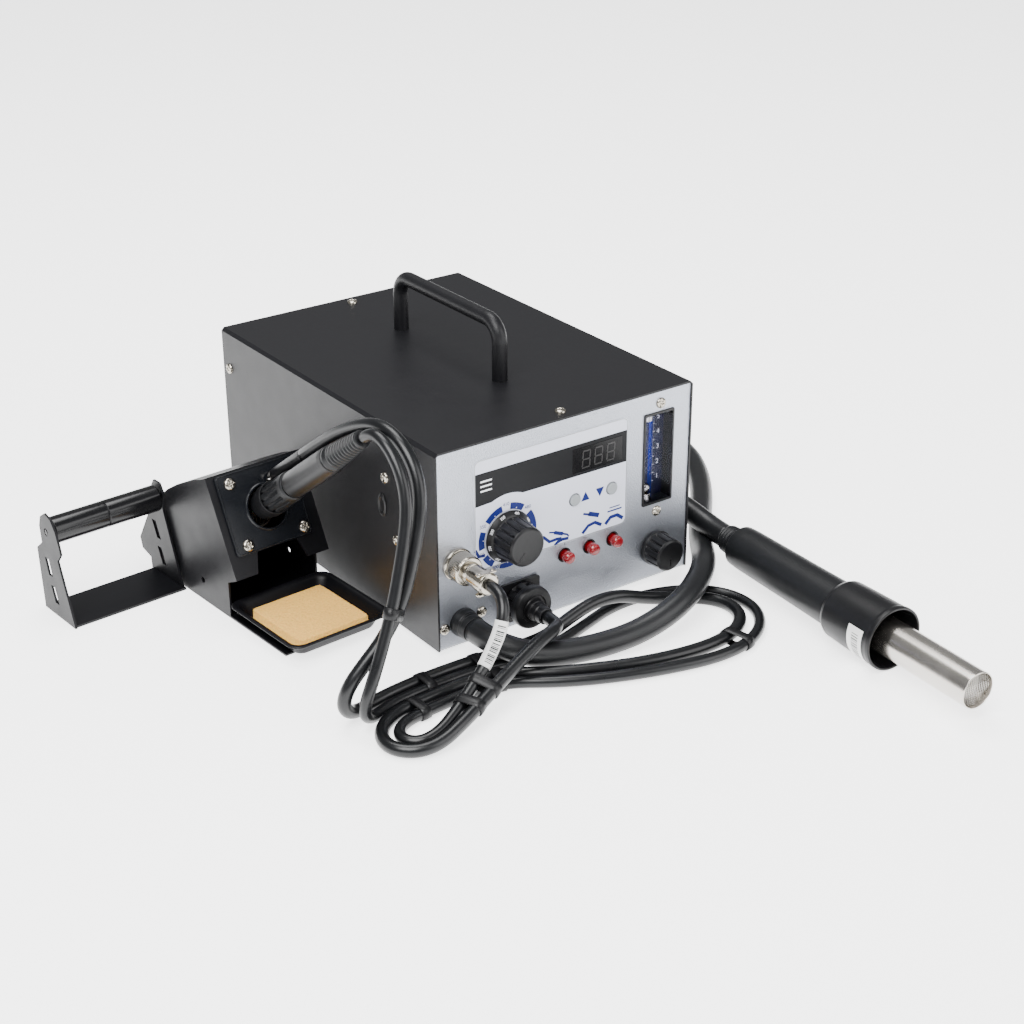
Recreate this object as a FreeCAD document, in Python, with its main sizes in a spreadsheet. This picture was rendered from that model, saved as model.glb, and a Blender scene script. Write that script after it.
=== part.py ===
import FreeCAD, Part
import math
import os
import re
import Sketcher

# Soldering and hot-air station: a mains-powered case with front controls, a free-standing
# iron holder with a sponge tray and a solder spool bracket, a soldering iron with a smoke
# pipe, and a hot-air gun on its hose.  Millimetres; +Y runs to the back, +Z up.  The origin
# is at the bottom centre of the station's box, measured without its cords.

os.makedirs("parts", exist_ok=True)
doc = FreeCAD.newDocument("station")
sheet = doc.addObject("Spreadsheet::Sheet", "sizes")
sheet.Label = "sizes"

SIZES = [
    # case
    ("case_x", 61), ("case_y", 115), ("case_w", 188), ("case_d", 250), ("case_h", 126),
    ("foot_h", 4), ("foot_r", 8), ("foot_in", 16), ("sheet_t", 1.2), ("fit_gap", 0.1),
    ("panel_inset", 0.8), ("skin_bend", 2), ("case_screw_r", 3.4),
    ("screw_shank_r", 1.5), ("screw_head_h", 1.8), ("shank_l", 6),
    # label and display
    ("label_x", -11.5), ("label_w", 112), ("label_z", 48), ("label_h", 70.5),
    ("label_t", 0.2), ("label_r", 4), ("window_x", 21.5), ("window_w", 37),
    ("window_z", 91.5), ("window_h", 16), ("led_t", 8),
    # knobs
    ("dial_x", -44), ("dial_z", 65.4), ("dial_skirt_r", 16.5), ("dial_skirt_t", 3.2),
    ("dial_grip_r", 12.25), ("dial_total", 20), ("air_x", 67.9), ("air_z", 24.7),
    ("air_knob_r", 11.5), ("air_knob_t", 16.5), ("shaft_r", 3), ("knob_gap", 0.6),
    ("turn_gap", 0.05), ("bush_r", 4.5), ("bush_l", 3),
    # buttons
    ("red_z", 40), ("red_r", 3.75), ("red_out", 7), ("red_x1", -2.2), ("red_x2", 16.7),
    ("red_x3", 34.4), ("red_stroke", 3), ("grey_z", 74.6), ("grey_x1", 4.9),
    ("grey_x2", 32.8), ("grey_out", 1.6), ("grey_stroke", 0.8), ("button_gap", 0.3),
    ("stem_r", 1.5), ("switch_w", 12), ("switch_d", 14),
    # flow meter
    ("meter_x", 68.5), ("meter_w", 23), ("meter_z", 55), ("meter_h", 60.6),
    ("meter_t", 14), ("meter_out", 1), ("bore_x", 63.6), ("bore_r", 3.9), ("ball_r", 3.2),
    ("plug_h", 6), ("screw_m1_x", 69.5), ("screw_m1_z", 121),
    ("screw_m2_x", 68.6), ("screw_m2_z", 49.3),
    # iron socket and plug
    ("sock_x", -80), ("sock_z", 58), ("sock_r", 10), ("sock_t", 3), ("sock_neck_r", 7.8),
    ("ring_r", 9.25), ("ring_l", 11), ("core_r", 6.5), ("plug_l", 23), ("clamp_r", 7),
    ("clamp_l", 7),
    # smoke port and hose outlet
    ("port_x", -36), ("port_z", 21), ("port_w", 28), ("port_hh", 26), ("port_t", 2),
    ("cap_r", 13.5), ("cap_l", 14), ("stub_r", 4.5), ("stub_l", 27.8), ("gland_x", -76.6),
    ("gland_z", 18.8), ("gland_r", 9), ("gland_l", 12.8),
    ("screw_p1_x", -89.2), ("screw_p1_z", 17.5), ("screw_p2_x", -63), ("screw_p2_z", 21),
    # top and side fittings
    ("handle_half", 55), ("handle_h", 36), ("rod_r", 4.75), ("bend_r", 12),
    ("oval_y", -68.5), ("oval_z", 77.7), ("oval_rw", 4.5), ("oval_rh", 7.5),
    ("top_screw_y", 116), ("side_y1", 116.7), ("side_z1", 104), ("side_y2", -71.7),
    ("side_z2", 96.3), ("side_y3", -83), ("side_z3", 60),
    # inside
    ("trafo_w", 62), ("trafo_d", 56), ("trafo_h", 58), ("trafo_x", 48), ("trafo_y", 70),
    ("pump_r", 26), ("pump_l", 78), ("pump_x", -48), ("pump_y", 62), ("board_d", 96),
    ("board_w", 130), ("board_t", 1.6), ("inlet_w", 27.5), ("inlet_h", 20),
    ("inlet_x", 55), ("inlet_z", 34),
    # stand
    ("stand_off", 75.2), ("stand_y", 104.7), ("stand_turn", 4), ("stand_w", 64),
    ("stand_t", 1.2), ("tongue", 60), ("lean_deg", 26), ("bezel_v", -6.5),
    ("bezel_z", 42.1), ("bezel_u", 30.5), ("bezel_w", 54), ("bezel_h", 50),
    ("bezel_t", 1.6), ("mouth_r", 13), ("mouth_u", 32.5), ("mouth_s", 24),
    ("frame_u", 32), ("frame_w", 66.6), ("frame_lo", -13), ("frame_hi", 51),
    ("frame_flange", 16), ("bz_screw_u", 20.1), ("bz_screw_lo", 5.1), ("bz_screw_hi", 43.5),
    ("bz_screw_r", 3.7),
    # tray and sponge
    ("tray_u", 32), ("tray_v", -39), ("tray_w", 72), ("tray_d", 74), ("tray_h", 11),
    ("tray_t", 1.2), ("tray_rim", 3), ("tray_slope", 5), ("tray_corner", 7),
    ("tray_lift", 0.2), ("sponge_gap", 1.2), ("sponge_h", 7),
    # spool bracket
    ("spool_u", -79), ("spool_w", 77.5), ("spool_t", 1.4), ("spool_v", 73),
    ("spool_z", 55.5), ("roller_r", 8.5), ("roller_side", 1.3), ("pin_r", 2.5),
    ("pin_gap", 0.1),
    # iron (measured along its axis from the holder's mouth)
    ("iron_u", 32), ("iron_v", 7), ("iron_z", 63.4), ("iron_tilt", 53.3), ("grip_r", 9.5),
    ("grip_l", 45), ("body_r", 8.5), ("body_l", 52), ("boot_l", 38), ("boot_r", 5),
    ("barrel_r", 4), ("barrel_l", 62), ("tip_l", 20), ("pipe_u", 8), ("pipe_up", 13.5),
    ("pipe_r", 4), ("pipe_l", 46), ("pipe_lo", 9), ("pipe_t", 0.8), ("clip_w", 8), ("guard_r", 11),
    ("guard_l", 46), ("guard_t", 1.4),
    # hot-air gun (measured along its axis from the back of the handle)
    ("gun_off", 24.5), ("gun_y", -33), ("gun_z", 20), ("gun_turn", -3.42), ("gun_r0", 13.5),
    ("gun_r1", 15), ("gun_l", 100), ("sleeve_r0", 9), ("sleeve_r1", 10), ("sleeve_l", 12),
    ("collar_r0", 18.5), ("collar_r1", 20), ("collar_l", 45), ("collar_t", 2.6),
    ("nozzle_r", 11.25), ("nozzle_l", 108), ("nozzle_t", 0.8), ("heater_r", 8),
    # cords
    ("hose_dia", 15), ("cable_dia", 7), ("tube_dia", 8), ("marker_t", 0.5),
]
for row, (alias, value) in enumerate(SIZES, start=1):
    sheet.set("A%d" % row, alias)
    sheet.set("B%d" % row, str(value))
    sheet.setAlias("B%d" % row, alias)
doc.recompute()
NAMES = {alias for alias, value in SIZES}
WORD = re.compile(r"[A-Za-z_][A-Za-z_0-9]*")


def tie(text):
    """Turn bare size names into references to the sheet."""
    return WORD.sub(lambda m: "<<sizes>>." + m.group(0) if m.group(0) in NAMES else m.group(0),
                    str(text))


def num(text):
    """The number an expression has now."""
    value = sheet.evalExpression(tie(text))
    return float(getattr(value, "Value", value))


def place(obj, at, turn=(0, 0, 0)):
    """Bind an object's placement: at = x, y, z and turn = yaw, pitch, roll in degrees."""
    text = "placement(vector(%s; %s; %s); rotation(%s; %s; %s))" % (tuple(at) + tuple(turn))
    obj.setExpression("Placement", tie(text))
    return obj


def box(name, size, at, turn=(0, 0, 0)):
    """A block: size = x, y, z and at = its lowest corner."""
    obj = doc.addObject("Part::Box", name)
    for prop, text in zip(("Length", "Width", "Height"), size):
        obj.setExpression(prop, tie(text))
    return place(obj, at, turn)


def mid_box(name, size, at, turn=(0, 0, 0)):
    """A block centred on at in x and y and standing on it in z."""
    low = ("(%s) - (%s) / 2" % (at[0], size[0]), "(%s) - (%s) / 2" % (at[1], size[1]), at[2])
    return box(name, size, low, turn)


def rod(name, radius, length, at, turn=(0, 0, 0)):
    """A round bar along its own Z."""
    obj = doc.addObject("Part::Cylinder", name)
    obj.setExpression("Radius", tie(radius))
    obj.setExpression("Height", tie(length))
    return place(obj, at, turn)


def fuse(name, shapes, at=None, turn=(0, 0, 0)):
    """Join shapes into one."""
    obj = doc.addObject("Part::MultiFuse", name)
    obj.Shapes = shapes
    return place(obj, at, turn) if at else obj


def group(name, shapes, at=None, turn=(0, 0, 0)):
    """Keep shapes as separate solids in one object."""
    obj = doc.addObject("Part::Compound", name)
    obj.Links = shapes
    return place(obj, at, turn) if at else obj


def cut(name, base, tools, at=None, turn=(0, 0, 0)):
    """Take one or more tools away from a base."""
    if len(tools) > 1:
        tool = group(name + "_tools", tools)
    else:
        tool = tools[0]
    obj = doc.addObject("Part::Cut", name)
    obj.Base = base
    obj.Tool = tool
    return place(obj, at, turn) if at else obj


def outline(body, role, points, name):
    """A closed sketch of straight lines; every corner is tied to the sheet."""
    sketch = body.newObject("Sketcher::SketchObject", name)
    plane = [o for o in body.Origin.OriginFeatures if o.Role == role][0]
    sketch.AttachmentSupport = [(plane, "")]
    sketch.MapMode = "FlatFace"
    spots = [FreeCAD.Vector(num(a), num(b), 0) for a, b in points]
    count = len(spots)
    for i in range(count):
        sketch.addGeometry(Part.LineSegment(spots[i], spots[(i + 1) % count]), False)
    for i in range(count):
        sketch.addConstraint(Sketcher.Constraint("Coincident", i, 2, (i + 1) % count, 1))
    for i, (a, b) in enumerate(points):
        for kind, text, value in (("DistanceX", a, spots[i].x), ("DistanceY", b, spots[i].y)):
            j = sketch.addConstraint(Sketcher.Constraint(kind, -1, 1, i, 1, value))
            sketch.setExpression("Constraints[%d]" % j, tie(text))
    return sketch


def turned(name, profile, at=(0, 0, 0), turn=(0, 0, 0)):
    """A turned solid: profile = (radius, height) corners around its own Z axis."""
    body = doc.addObject("PartDesign::Body", name)
    sketch = outline(body, "XZ_Plane", profile, name + "_profile")
    rev = body.newObject("PartDesign::Revolution", name + "_turn")
    rev.Profile = sketch
    rev.ReferenceAxis = (sketch, ["V_Axis"])
    rev.Angle = 360
    sketch.Visibility = False
    return place(body, at, turn)


def padded(name, points, depth, role="XY_Plane", at=(0, 0, 0), turn=(0, 0, 0)):
    """A flat piece of the given outline, padded by depth."""
    body = doc.addObject("PartDesign::Body", name)
    sketch = outline(body, role, points, name + "_outline")
    pad = body.newObject("PartDesign::Pad", name + "_pad")
    pad.Profile = sketch
    pad.setExpression("Length", tie(depth))
    sketch.Visibility = False
    return place(body, at, turn)


def round_rect(w, h, r, x="0", y="0", steps=3):
    """Corners of a rectangle with rounded corners, as short straight lines."""
    out = []
    for sx, sy, start in ((1, -1, -90), (1, 1, 0), (-1, 1, 90), (-1, -1, 180)):
        for i in range(steps + 1):
            a = math.radians(start + 90.0 * i / steps)
            out.append(("(%s) + %d * ((%s) / 2 - (%s)) + %.5f * (%s)"
                        % (x, sx, w, r, math.cos(a), r),
                        "(%s) + %d * ((%s) / 2 - (%s)) + %.5f * (%s)"
                        % (y, sy, h, r, math.sin(a), r)))
    return out


CASE = ("case_x", "case_y", "0")
FRONT = "-case_d / 2 + panel_inset"          # front face of the panel, in the case's frame
IN = (0, 0, 90)                              # own Z points out of the front panel
STAND_X = "(case_x - case_w / 2 - stand_off)"
STAND = (STAND_X, "stand_y", "0")
YAW = ("stand_turn", 0, 0)


def front(x, z, out="0"):
    """A spot on the front panel in the final frame; out = distance in front of the panel."""
    return ("case_x + (%s)" % x, "case_y + (%s) - (%s)" % (FRONT, out), z)


def on_stand(u, v, z):
    """A spot given in the stand's own frame, in the final frame."""
    angle = "stand_turn * 1 deg"
    return (STAND_X + " + (%s) * cos(%s) - (%s) * sin(%s)" % (u, angle, v, angle),
            "stand_y + (%s) * sin(%s) + (%s) * cos(%s)" % (u, angle, v, angle), z)


NODES = []


def node(obj):
    """Note a finished piece; its label is the name of its file."""
    NODES.append(obj)
    return obj


def screws(name, spots, head_r):
    """Identical pan-head screws as separate solids; spots = (x, y, z, yaw, pitch, roll)."""
    items = []
    for i, spot in enumerate(spots):
        items.append(turned("%s_%d" % (name, i + 1), [
            ("0", "-shank_l"), ("screw_shank_r", "-shank_l"), ("screw_shank_r", "0"),
            (head_r, "0"), (head_r, "screw_head_h * 0.35"),
            ("(%s) * 0.8" % head_r, "screw_head_h * 0.8"),
            ("(%s) * 0.45" % head_r, "screw_head_h"), ("0", "screw_head_h")],
            spot[:3], spot[3:]))
    return node(group(name, items))


# ---------------------------------------------------------------- case
W_IN = "(case_w - 2 * sheet_t - 2 * fit_gap)"
TOP = "(foot_h + case_h)"
cover_spots = [("case_x", "case_y - top_screw_y", TOP, 0, 0, 0),
               ("case_x", "case_y + top_screw_y", TOP, 0, 0, 0)]
for side, roll in ((-1, -90), (1, 90)):
    for k in (1, 2, 3):
        cover_spots.append(("case_x + %d * case_w / 2" % side, "case_y + side_y%d" % k,
                            "side_z%d" % k, 0, roll, 0))


def hole_at(name, spot):
    """A clearance hole through the sheet below a screw head."""
    return turned(name, [("0", "-shank_l - 1"), ("screw_shank_r + fit_gap", "-shank_l - 1"),
                         ("screw_shank_r + fit_gap", "1"), ("0", "1")], spot[:3], spot[3:])


chassis_base = mid_box("chassis_base", (W_IN, "case_d - 2 * panel_inset", "sheet_t"),
                       ("0", "0", "foot_h"))
chassis_back = mid_box("chassis_back", (W_IN, "sheet_t", "case_h - sheet_t - fit_gap"),
                       ("0", "case_d / 2 - panel_inset - sheet_t / 2", "foot_h"))
chassis_all = fuse("chassis_all", [chassis_base, chassis_back])
inlet_hole = mid_box("inlet_hole", ("inlet_w + 2 * fit_gap", "20", "inlet_h + 2 * fit_gap"),
                     ("inlet_x", "case_d / 2", "inlet_z - inlet_h / 2 - fit_gap"))
node(cut("chassis", chassis_all, [inlet_hole], CASE))

cover_out = padded("cover_out", [
    ("-case_w / 2", "foot_h"), ("case_w / 2", "foot_h"),
    ("case_w / 2", "foot_h + case_h - skin_bend"),
    ("case_w / 2 - skin_bend", "foot_h + case_h"),
    ("-case_w / 2 + skin_bend", "foot_h + case_h"),
    ("-case_w / 2", "foot_h + case_h - skin_bend")], "case_d", "XZ_Plane",
    ("case_x", "case_y + case_d / 2", "0"))
cover_in = padded("cover_in", [
    ("-case_w / 2 + sheet_t", "foot_h - 1"), ("case_w / 2 - sheet_t", "foot_h - 1"),
    ("case_w / 2 - sheet_t", "foot_h + case_h - skin_bend"),
    ("case_w / 2 - skin_bend", "foot_h + case_h - sheet_t"),
    ("-case_w / 2 + skin_bend", "foot_h + case_h - sheet_t"),
    ("-case_w / 2 + sheet_t", "foot_h + case_h - skin_bend")], "case_d + 2", "XZ_Plane",
    ("case_x", "case_y + case_d / 2 + 1", "0"))
oval_hole = padded("oval_hole", [("%.5f * (oval_rw - 0.9)" % math.cos(math.radians(30 * i)),
                                  "%.5f * (oval_rh - 0.9)" % math.sin(math.radians(30 * i)))
                                 for i in range(12)], "6", "XY_Plane",
                   ("case_x - case_w / 2 - 3", "case_y + oval_y", "oval_z"), (90, 0, 90))
handle_holes = [rod("handle_hole_%d" % i, "rod_r + fit_gap", "4",
                    ("case_x", "case_y + %d * handle_half" % s, "foot_h + case_h - 3"))
                for i, s in enumerate((-1, 1))]
cover_tools = [cover_in, oval_hole] + handle_holes
cover_tools += [hole_at("cover_hole_%d" % i, s) for i, s in enumerate(cover_spots)]
node(cut("top_cover", cover_out, cover_tools))

# bent rod handle: two legs, two quarter bends and the grip
legs = [rod("handle_leg_%d" % i, "rod_r", "handle_h - bend_r + 3",
            ("0", "%d * handle_half" % s, "foot_h + case_h - 3")) for i, s in enumerate((-1, 1))]
bends = []
for i, (s, yaw) in enumerate(((-1, -90), (1, 90))):
    bend = doc.addObject("Part::Torus", "handle_bend_%d" % i)
    bend.setExpression("Radius1", tie("bend_r"))
    bend.setExpression("Radius2", tie("rod_r"))
    bend.Angle3 = 90
    bends.append(place(bend, ("0", "%d * (handle_half - bend_r)" % s,
                              "foot_h + case_h + handle_h - bend_r"), (yaw, 0, 90)))
grip_bar = rod("handle_bar", "rod_r", "2 * (handle_half - bend_r)",
               ("0", "-(handle_half - bend_r)", "foot_h + case_h + handle_h"), (0, 0, -90))
node(fuse("carry_handle", legs + bends + [grip_bar], CASE))

feet = []
for i, (sx, sy) in enumerate(((-1, -1), (1, -1), (1, 1), (-1, 1))):
    feet.append(turned("foot_%d" % i, [("0", "0"), ("foot_r - 0.8", "0"), ("foot_r", "0.8"),
                                       ("foot_r", "foot_h"), ("0", "foot_h")],
                       ("%d * (case_w / 2 - foot_in)" % sx,
                        "%d * (case_d / 2 - foot_in)" % sy, "0")))
node(group("rubber_feet", feet, CASE))

# front panel and everything that goes through it
small_screws = [front("screw_p1_x", "screw_p1_z") + IN, front("screw_p2_x", "screw_p2_z") + IN,
                front("screw_m1_x", "screw_m1_z") + IN, front("screw_m2_x", "screw_m2_z") + IN]
screws("case_screws", cover_spots + small_screws, "case_screw_r")
holes = [("dial_x", "dial_z", "bush_r"), ("air_x", "air_z", "bush_r"),
         ("red_x1", "red_z", "red_r + button_gap"), ("red_x2", "red_z", "red_r + button_gap"),
         ("red_x3", "red_z", "red_r + button_gap"), ("grey_x1", "grey_z", "red_r + button_gap"),
         ("grey_x2", "grey_z", "red_r + button_gap"), ("sock_x", "sock_z", "sock_neck_r"),
         ("port_x", "port_z", "stub_r + 4"), ("gland_x", "gland_z", "7")]


def front_hole(name, x, z, radius):
    """A round hole right through the panel and what covers it."""
    return rod(name, "(%s) + fit_gap" % radius, "8",
               front(x, z, "-4"), IN)


def window_hole(name):
    """The opening of the display window."""
    return box(name, ("window_w + 2 * fit_gap", "8", "window_h + 2 * fit_gap"),
               ("case_x + window_x - window_w / 2 - fit_gap", "case_y + (%s) - 4" % FRONT,
                "window_z - fit_gap"))


panel_plate = mid_box("panel_plate", (W_IN, "sheet_t", "case_h - 2 * sheet_t - 2 * fit_gap"),
                      ("case_x", "case_y + (%s) + sheet_t / 2" % FRONT, "foot_h + sheet_t"))
tools = [front_hole("panel_hole_%d" % i, *h) for i, h in enumerate(holes)]
tools.append(window_hole("panel_window"))
tools.append(box("meter_hole", ("meter_w + 2 * fit_gap", "8", "meter_h + 2 * fit_gap"),
                 ("case_x + meter_x - meter_w / 2 - fit_gap", "case_y + (%s) - 4" % FRONT,
                  "meter_z - fit_gap")))
tools += [hole_at("panel_tap_%d" % i, s) for i, s in enumerate(small_screws)]
node(cut("front_panel", panel_plate, tools))

label_sheet = padded("label_sheet",
                     round_rect("label_w", "label_h", "label_r", "0", "label_h / 2"),
                     "label_t", "XY_Plane", front("label_x", "label_z"), IN)
tools = [front_hole("label_hole_%d" % i, *holes[i]) for i in (0, 5, 6)]
node(cut("front_label", label_sheet, tools))
node(box("led_display", ("window_w - 2 * fit_gap", "led_t", "window_h - 2 * fit_gap"),
         ("case_x + window_x - window_w / 2 + fit_gap", "case_y + (%s)" % FRONT,
          "window_z + fit_gap")))

# knobs on their shafts
node(turned("temp_knob", [
    ("shaft_r", "knob_gap + bush_l"), ("7.5", "knob_gap + bush_l"), ("7.5", "knob_gap"),
    ("dial_skirt_r", "knob_gap"),
    ("dial_skirt_r", "knob_gap + dial_skirt_t * 0.5"),
    ("dial_grip_r + 1", "knob_gap + dial_skirt_t"), ("dial_grip_r", "dial_total - 1"),
    ("dial_grip_r - 1", "dial_total"), ("0", "dial_total"), ("0", "dial_total - 3"),
    ("shaft_r", "dial_total - 3")], front("dial_x", "dial_z", "label_t"), IN))
node(rod("pot_shaft", "shaft_r", "dial_total - 3 + 10 + label_t",
         front("dial_x", "dial_z", "-10"), IN))
node(turned("pot_body", [
    ("shaft_r + turn_gap", "-10.5"), ("shaft_r + turn_gap", "bush_l"), ("bush_r", "bush_l"),
    ("bush_r", "-sheet_t"), ("12", "-sheet_t"), ("12", "-13"), ("0", "-13"), ("0", "-10.5")],
    front("dial_x", "dial_z"), IN))
node(turned("air_knob", [
    ("shaft_r", "knob_gap + bush_l"), ("7.5", "knob_gap + bush_l"), ("7.5", "knob_gap"),
    ("air_knob_r", "knob_gap"), ("air_knob_r - 0.6", "air_knob_t - 1.2"),
    ("air_knob_r - 1.8", "air_knob_t"), ("0", "air_knob_t"), ("0", "air_knob_t - 3"),
    ("shaft_r", "air_knob_t - 3")], front("air_x", "air_z"), IN))
node(rod("valve_stem", "shaft_r", "air_knob_t - 3 + 14", front("air_x", "air_z", "-14"), IN))
node(turned("valve_body", [
    ("shaft_r + turn_gap", "-15"), ("shaft_r + turn_gap", "bush_l"), ("bush_r", "bush_l"),
    ("bush_r", "-sheet_t"), ("10", "-sheet_t"), ("10", "-22"), ("4", "-22"), ("4", "-34"),
    ("1.5", "-34"), ("1.5", "-15")], front("air_x", "air_z"), IN))

# push buttons and the switches behind them
cells = (("iron_button", "red_x1", "red_z"), ("air_button", "red_x2", "red_z"),
         ("smoke_button", "red_x3", "red_z"))
switches = []
for name, x, z in cells:
    node(turned(name, [
        ("0", "red_out"), ("red_r - 0.8", "red_out"), ("red_r", "red_out - 0.8"),
        ("red_r", "-red_stroke"), ("stem_r", "-red_stroke"),
        ("stem_r", "-2 * red_stroke - 5"), ("0", "-2 * red_stroke - 5")], front(x, z), IN))
    block = mid_box(name + "_block", ("switch_w", "switch_d", "switch_w"),
                    ("case_x + " + x, "case_y + (%s) + 2 * red_stroke + 0.6 + switch_d / 2"
                     % FRONT, "(%s) - switch_w / 2" % z))
    bore = rod(name + "_bore", "stem_r + button_gap", "switch_d - 2",
               front(x, z, "-(2 * red_stroke + 0.6 + switch_d - 2)"), IN)
    switches.append(cut(name + "_switch", block, [bore]))
for name, x in (("up_button", "grey_x1"), ("down_button", "grey_x2")):
    node(turned(name, [
        ("0", "grey_out"), ("red_r - 0.5", "grey_out"), ("red_r", "grey_out - 0.5"),
        ("red_r", "-sheet_t - grey_stroke"), ("stem_r", "-sheet_t - grey_stroke"),
        ("stem_r", "-8"), ("0", "-8")], front(x, "grey_z"), IN))
    block = mid_box(name + "_block", ("switch_w * 0.6", "8", "switch_w * 0.6"),
                    ("case_x + " + x, "case_y + (%s) + sheet_t + 2 * grey_stroke + 0.4 + 4"
                     % FRONT, "grey_z - switch_w * 0.3"))
    bore = rod(name + "_bore", "stem_r + button_gap", "7",
               front(x, "grey_z", "-(sheet_t + 2 * grey_stroke + 0.4 + 7)"), IN)
    switches.append(cut(name + "_switch", block, [bore]))
node(group("switch_bodies", switches))

# flow meter: a clear block with an upright bore, a plug at each end and a ball in it
meter_block = box("meter_block", ("meter_w", "meter_t", "meter_h"),
                  ("case_x + meter_x - meter_w / 2", "case_y + (%s) - meter_out" % FRONT,
                   "meter_z"))
BORE_Y = "case_y + (%s) - meter_out + meter_t / 2" % FRONT
meter_bore = rod("meter_bore", "bore_r", "meter_h + 2",
                 ("case_x + bore_x", BORE_Y, "meter_z - 1"))
node(cut("flow_meter", meter_block, [meter_bore]))
node(group("flow_plugs", [
    rod("flow_plug_low", "bore_r", "plug_h", ("case_x + bore_x", BORE_Y, "meter_z")),
    rod("flow_plug_high", "bore_r", "plug_h",
        ("case_x + bore_x", BORE_Y, "meter_z + meter_h - plug_h"))]))
ball = doc.addObject("Part::Sphere", "flow_ball")
ball.setExpression("Radius", tie("ball_r"))
node(place(ball, ("case_x + bore_x", BORE_Y, "meter_z + plug_h + ball_r + 0.1")))

# iron socket, the iron's plug and its locking ring
node(turned("iron_socket", [
    ("0", "-14"), ("sock_neck_r", "-14"), ("sock_neck_r", "0"), ("sock_r", "0"),
    ("sock_r", "sock_t - 0.6"), ("sock_r - 0.6", "sock_t"), ("0", "sock_t")],
    front("sock_x", "sock_z"), IN))
node(turned("plug_ring", [
    ("core_r + turn_gap", "sock_t + 0.2"), ("ring_r", "sock_t + 0.2"),
    ("ring_r", "sock_t + ring_l - 1"), ("ring_r - 1", "sock_t + ring_l"),
    ("core_r + turn_gap", "sock_t + ring_l")], front("sock_x", "sock_z"), IN))
node(turned("iron_plug", [
    ("0", "sock_t"), ("core_r", "sock_t"), ("core_r", "sock_t + plug_l"),
    ("clamp_r", "sock_t + plug_l"), ("clamp_r", "sock_t + plug_l + clamp_l - 1"),
    ("clamp_r - 1", "sock_t + plug_l + clamp_l"), ("0", "sock_t + plug_l + clamp_l")],
    front("sock_x", "sock_z"), IN))

# smoke port with its turning cap, and the hose outlet
port_plate = padded("port_plate", round_rect("port_w", "port_hh", "2"), "port_t", "XY_Plane",
                    front("port_x", "port_z"), IN)
port_pipe = rod("port_pipe", "stub_r", "stub_l + 12", front("port_x", "port_z", "-12"), IN)
port_all = fuse("port_all", [port_plate, port_pipe])
port_bore = rod("port_bore", "stub_r - 1.5", "stub_l + 20", front("port_x", "port_z", "-14"),
                IN)
node(cut("smoke_port", port_all, [port_bore]))
node(turned("smoke_cap", [
    ("stub_r + turn_gap", "port_t + 0.2"), ("cap_r", "port_t + 0.2"),
    ("cap_r", "port_t + cap_l - 2"), ("cap_r - 2", "port_t + cap_l"),
    ("stub_r + turn_gap", "port_t + cap_l")], front("port_x", "port_z"), IN))
node(turned("hose_gland", [
    ("5", "-8"), ("7", "-8"), ("7", "0"), ("gland_r", "0"), ("gland_r", "3"),
    ("gland_r - 1.5", "5"), ("gland_r - 1.5", "gland_l"), ("5", "gland_l")],
    front("gland_x", "gland_z"), IN))
oval = [("%.5f * oval_rw" % math.cos(math.radians(30 * i)),
         "%.5f * oval_rh" % math.sin(math.radians(30 * i))) for i in range(12)]
small = [("%.5f * (oval_rw - 1)" % math.cos(math.radians(30 * i)),
          "%.5f * (oval_rh - 1)" % math.sin(math.radians(30 * i))) for i in range(12)]
LEFT = (-90, 0, 90)
oval_face = padded("oval_face", oval, "1.5", "XY_Plane",
                   ("case_x - case_w / 2", "case_y + oval_y", "oval_z"), LEFT)
oval_neck = padded("oval_neck", small, "4.5", "XY_Plane",
                   ("case_x - case_w / 2 + 3", "case_y + oval_y", "oval_z"), LEFT)
node(fuse("side_plug", [oval_face, oval_neck]))

# what works inside the case
FLOOR = "foot_h + sheet_t"
node(fuse("transformer", [
    mid_box("trafo_core", ("trafo_w", "trafo_d * 0.55", "trafo_h"),
            ("trafo_x", "trafo_y", FLOOR)),
    mid_box("trafo_coil", ("trafo_w * 0.6", "trafo_d", "trafo_h * 0.62"),
            ("trafo_x", "trafo_y", "foot_h + sheet_t + trafo_h * 0.19"))], CASE))
pump_body = rod("pump_body", "pump_r", "pump_l",
                ("pump_x", "pump_y - pump_l / 2", "foot_h + sheet_t + pump_r + 4"),
                (0, 0, -90))
pump_feet = [mid_box("pump_foot_%d" % i, ("pump_r * 1.6", "8", "14"),
                     ("pump_x", "pump_y + %d * pump_l * 0.32" % s, FLOOR))
             for i, s in enumerate((-1, 1))]
node(fuse("air_pump", [pump_body] + pump_feet, CASE))
board_legs = [rod("board_leg_%d" % i, "3", "8",
                  ("-10 + %d * (board_w / 2 - 6)" % sx, "-40 + %d * (board_d / 2 - 6)" % sy,
                   FLOOR)) for i, (sx, sy) in enumerate(((-1, -1), (1, -1), (1, 1), (-1, 1)))]
board = mid_box("board_plate", ("board_w", "board_d", "board_t"),
                ("-10", "-40", "foot_h + sheet_t + 8"))
sinks = [mid_box("board_sink_%d" % i, ("10", "40", "24"),
                 ("-60 + %d * 42" % i, "-30", "foot_h + sheet_t + 8 + board_t"))
         for i in range(3)]
node(fuse("main_board", board_legs + [board] + sinks, CASE))
inlet_face = mid_box("inlet_face", ("inlet_w + 20", "3", "inlet_h + 4"),
                     ("inlet_x", "case_d / 2 - panel_inset + 1.5", "inlet_z - inlet_h / 2 - 2"))
inlet_box = mid_box("inlet_box", ("inlet_w", "24", "inlet_h"),
                    ("inlet_x", "case_d / 2 - panel_inset - 9", "inlet_z - inlet_h / 2"))
inlet_cup = mid_box("inlet_cup", ("inlet_w - 4", "16", "inlet_h - 4"),
                    ("inlet_x", "case_d / 2 - panel_inset - 2", "inlet_z - inlet_h / 2 + 2"))
node(cut("mains_inlet", fuse("inlet_all", [inlet_face, inlet_box]), [inlet_cup], CASE))

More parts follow.
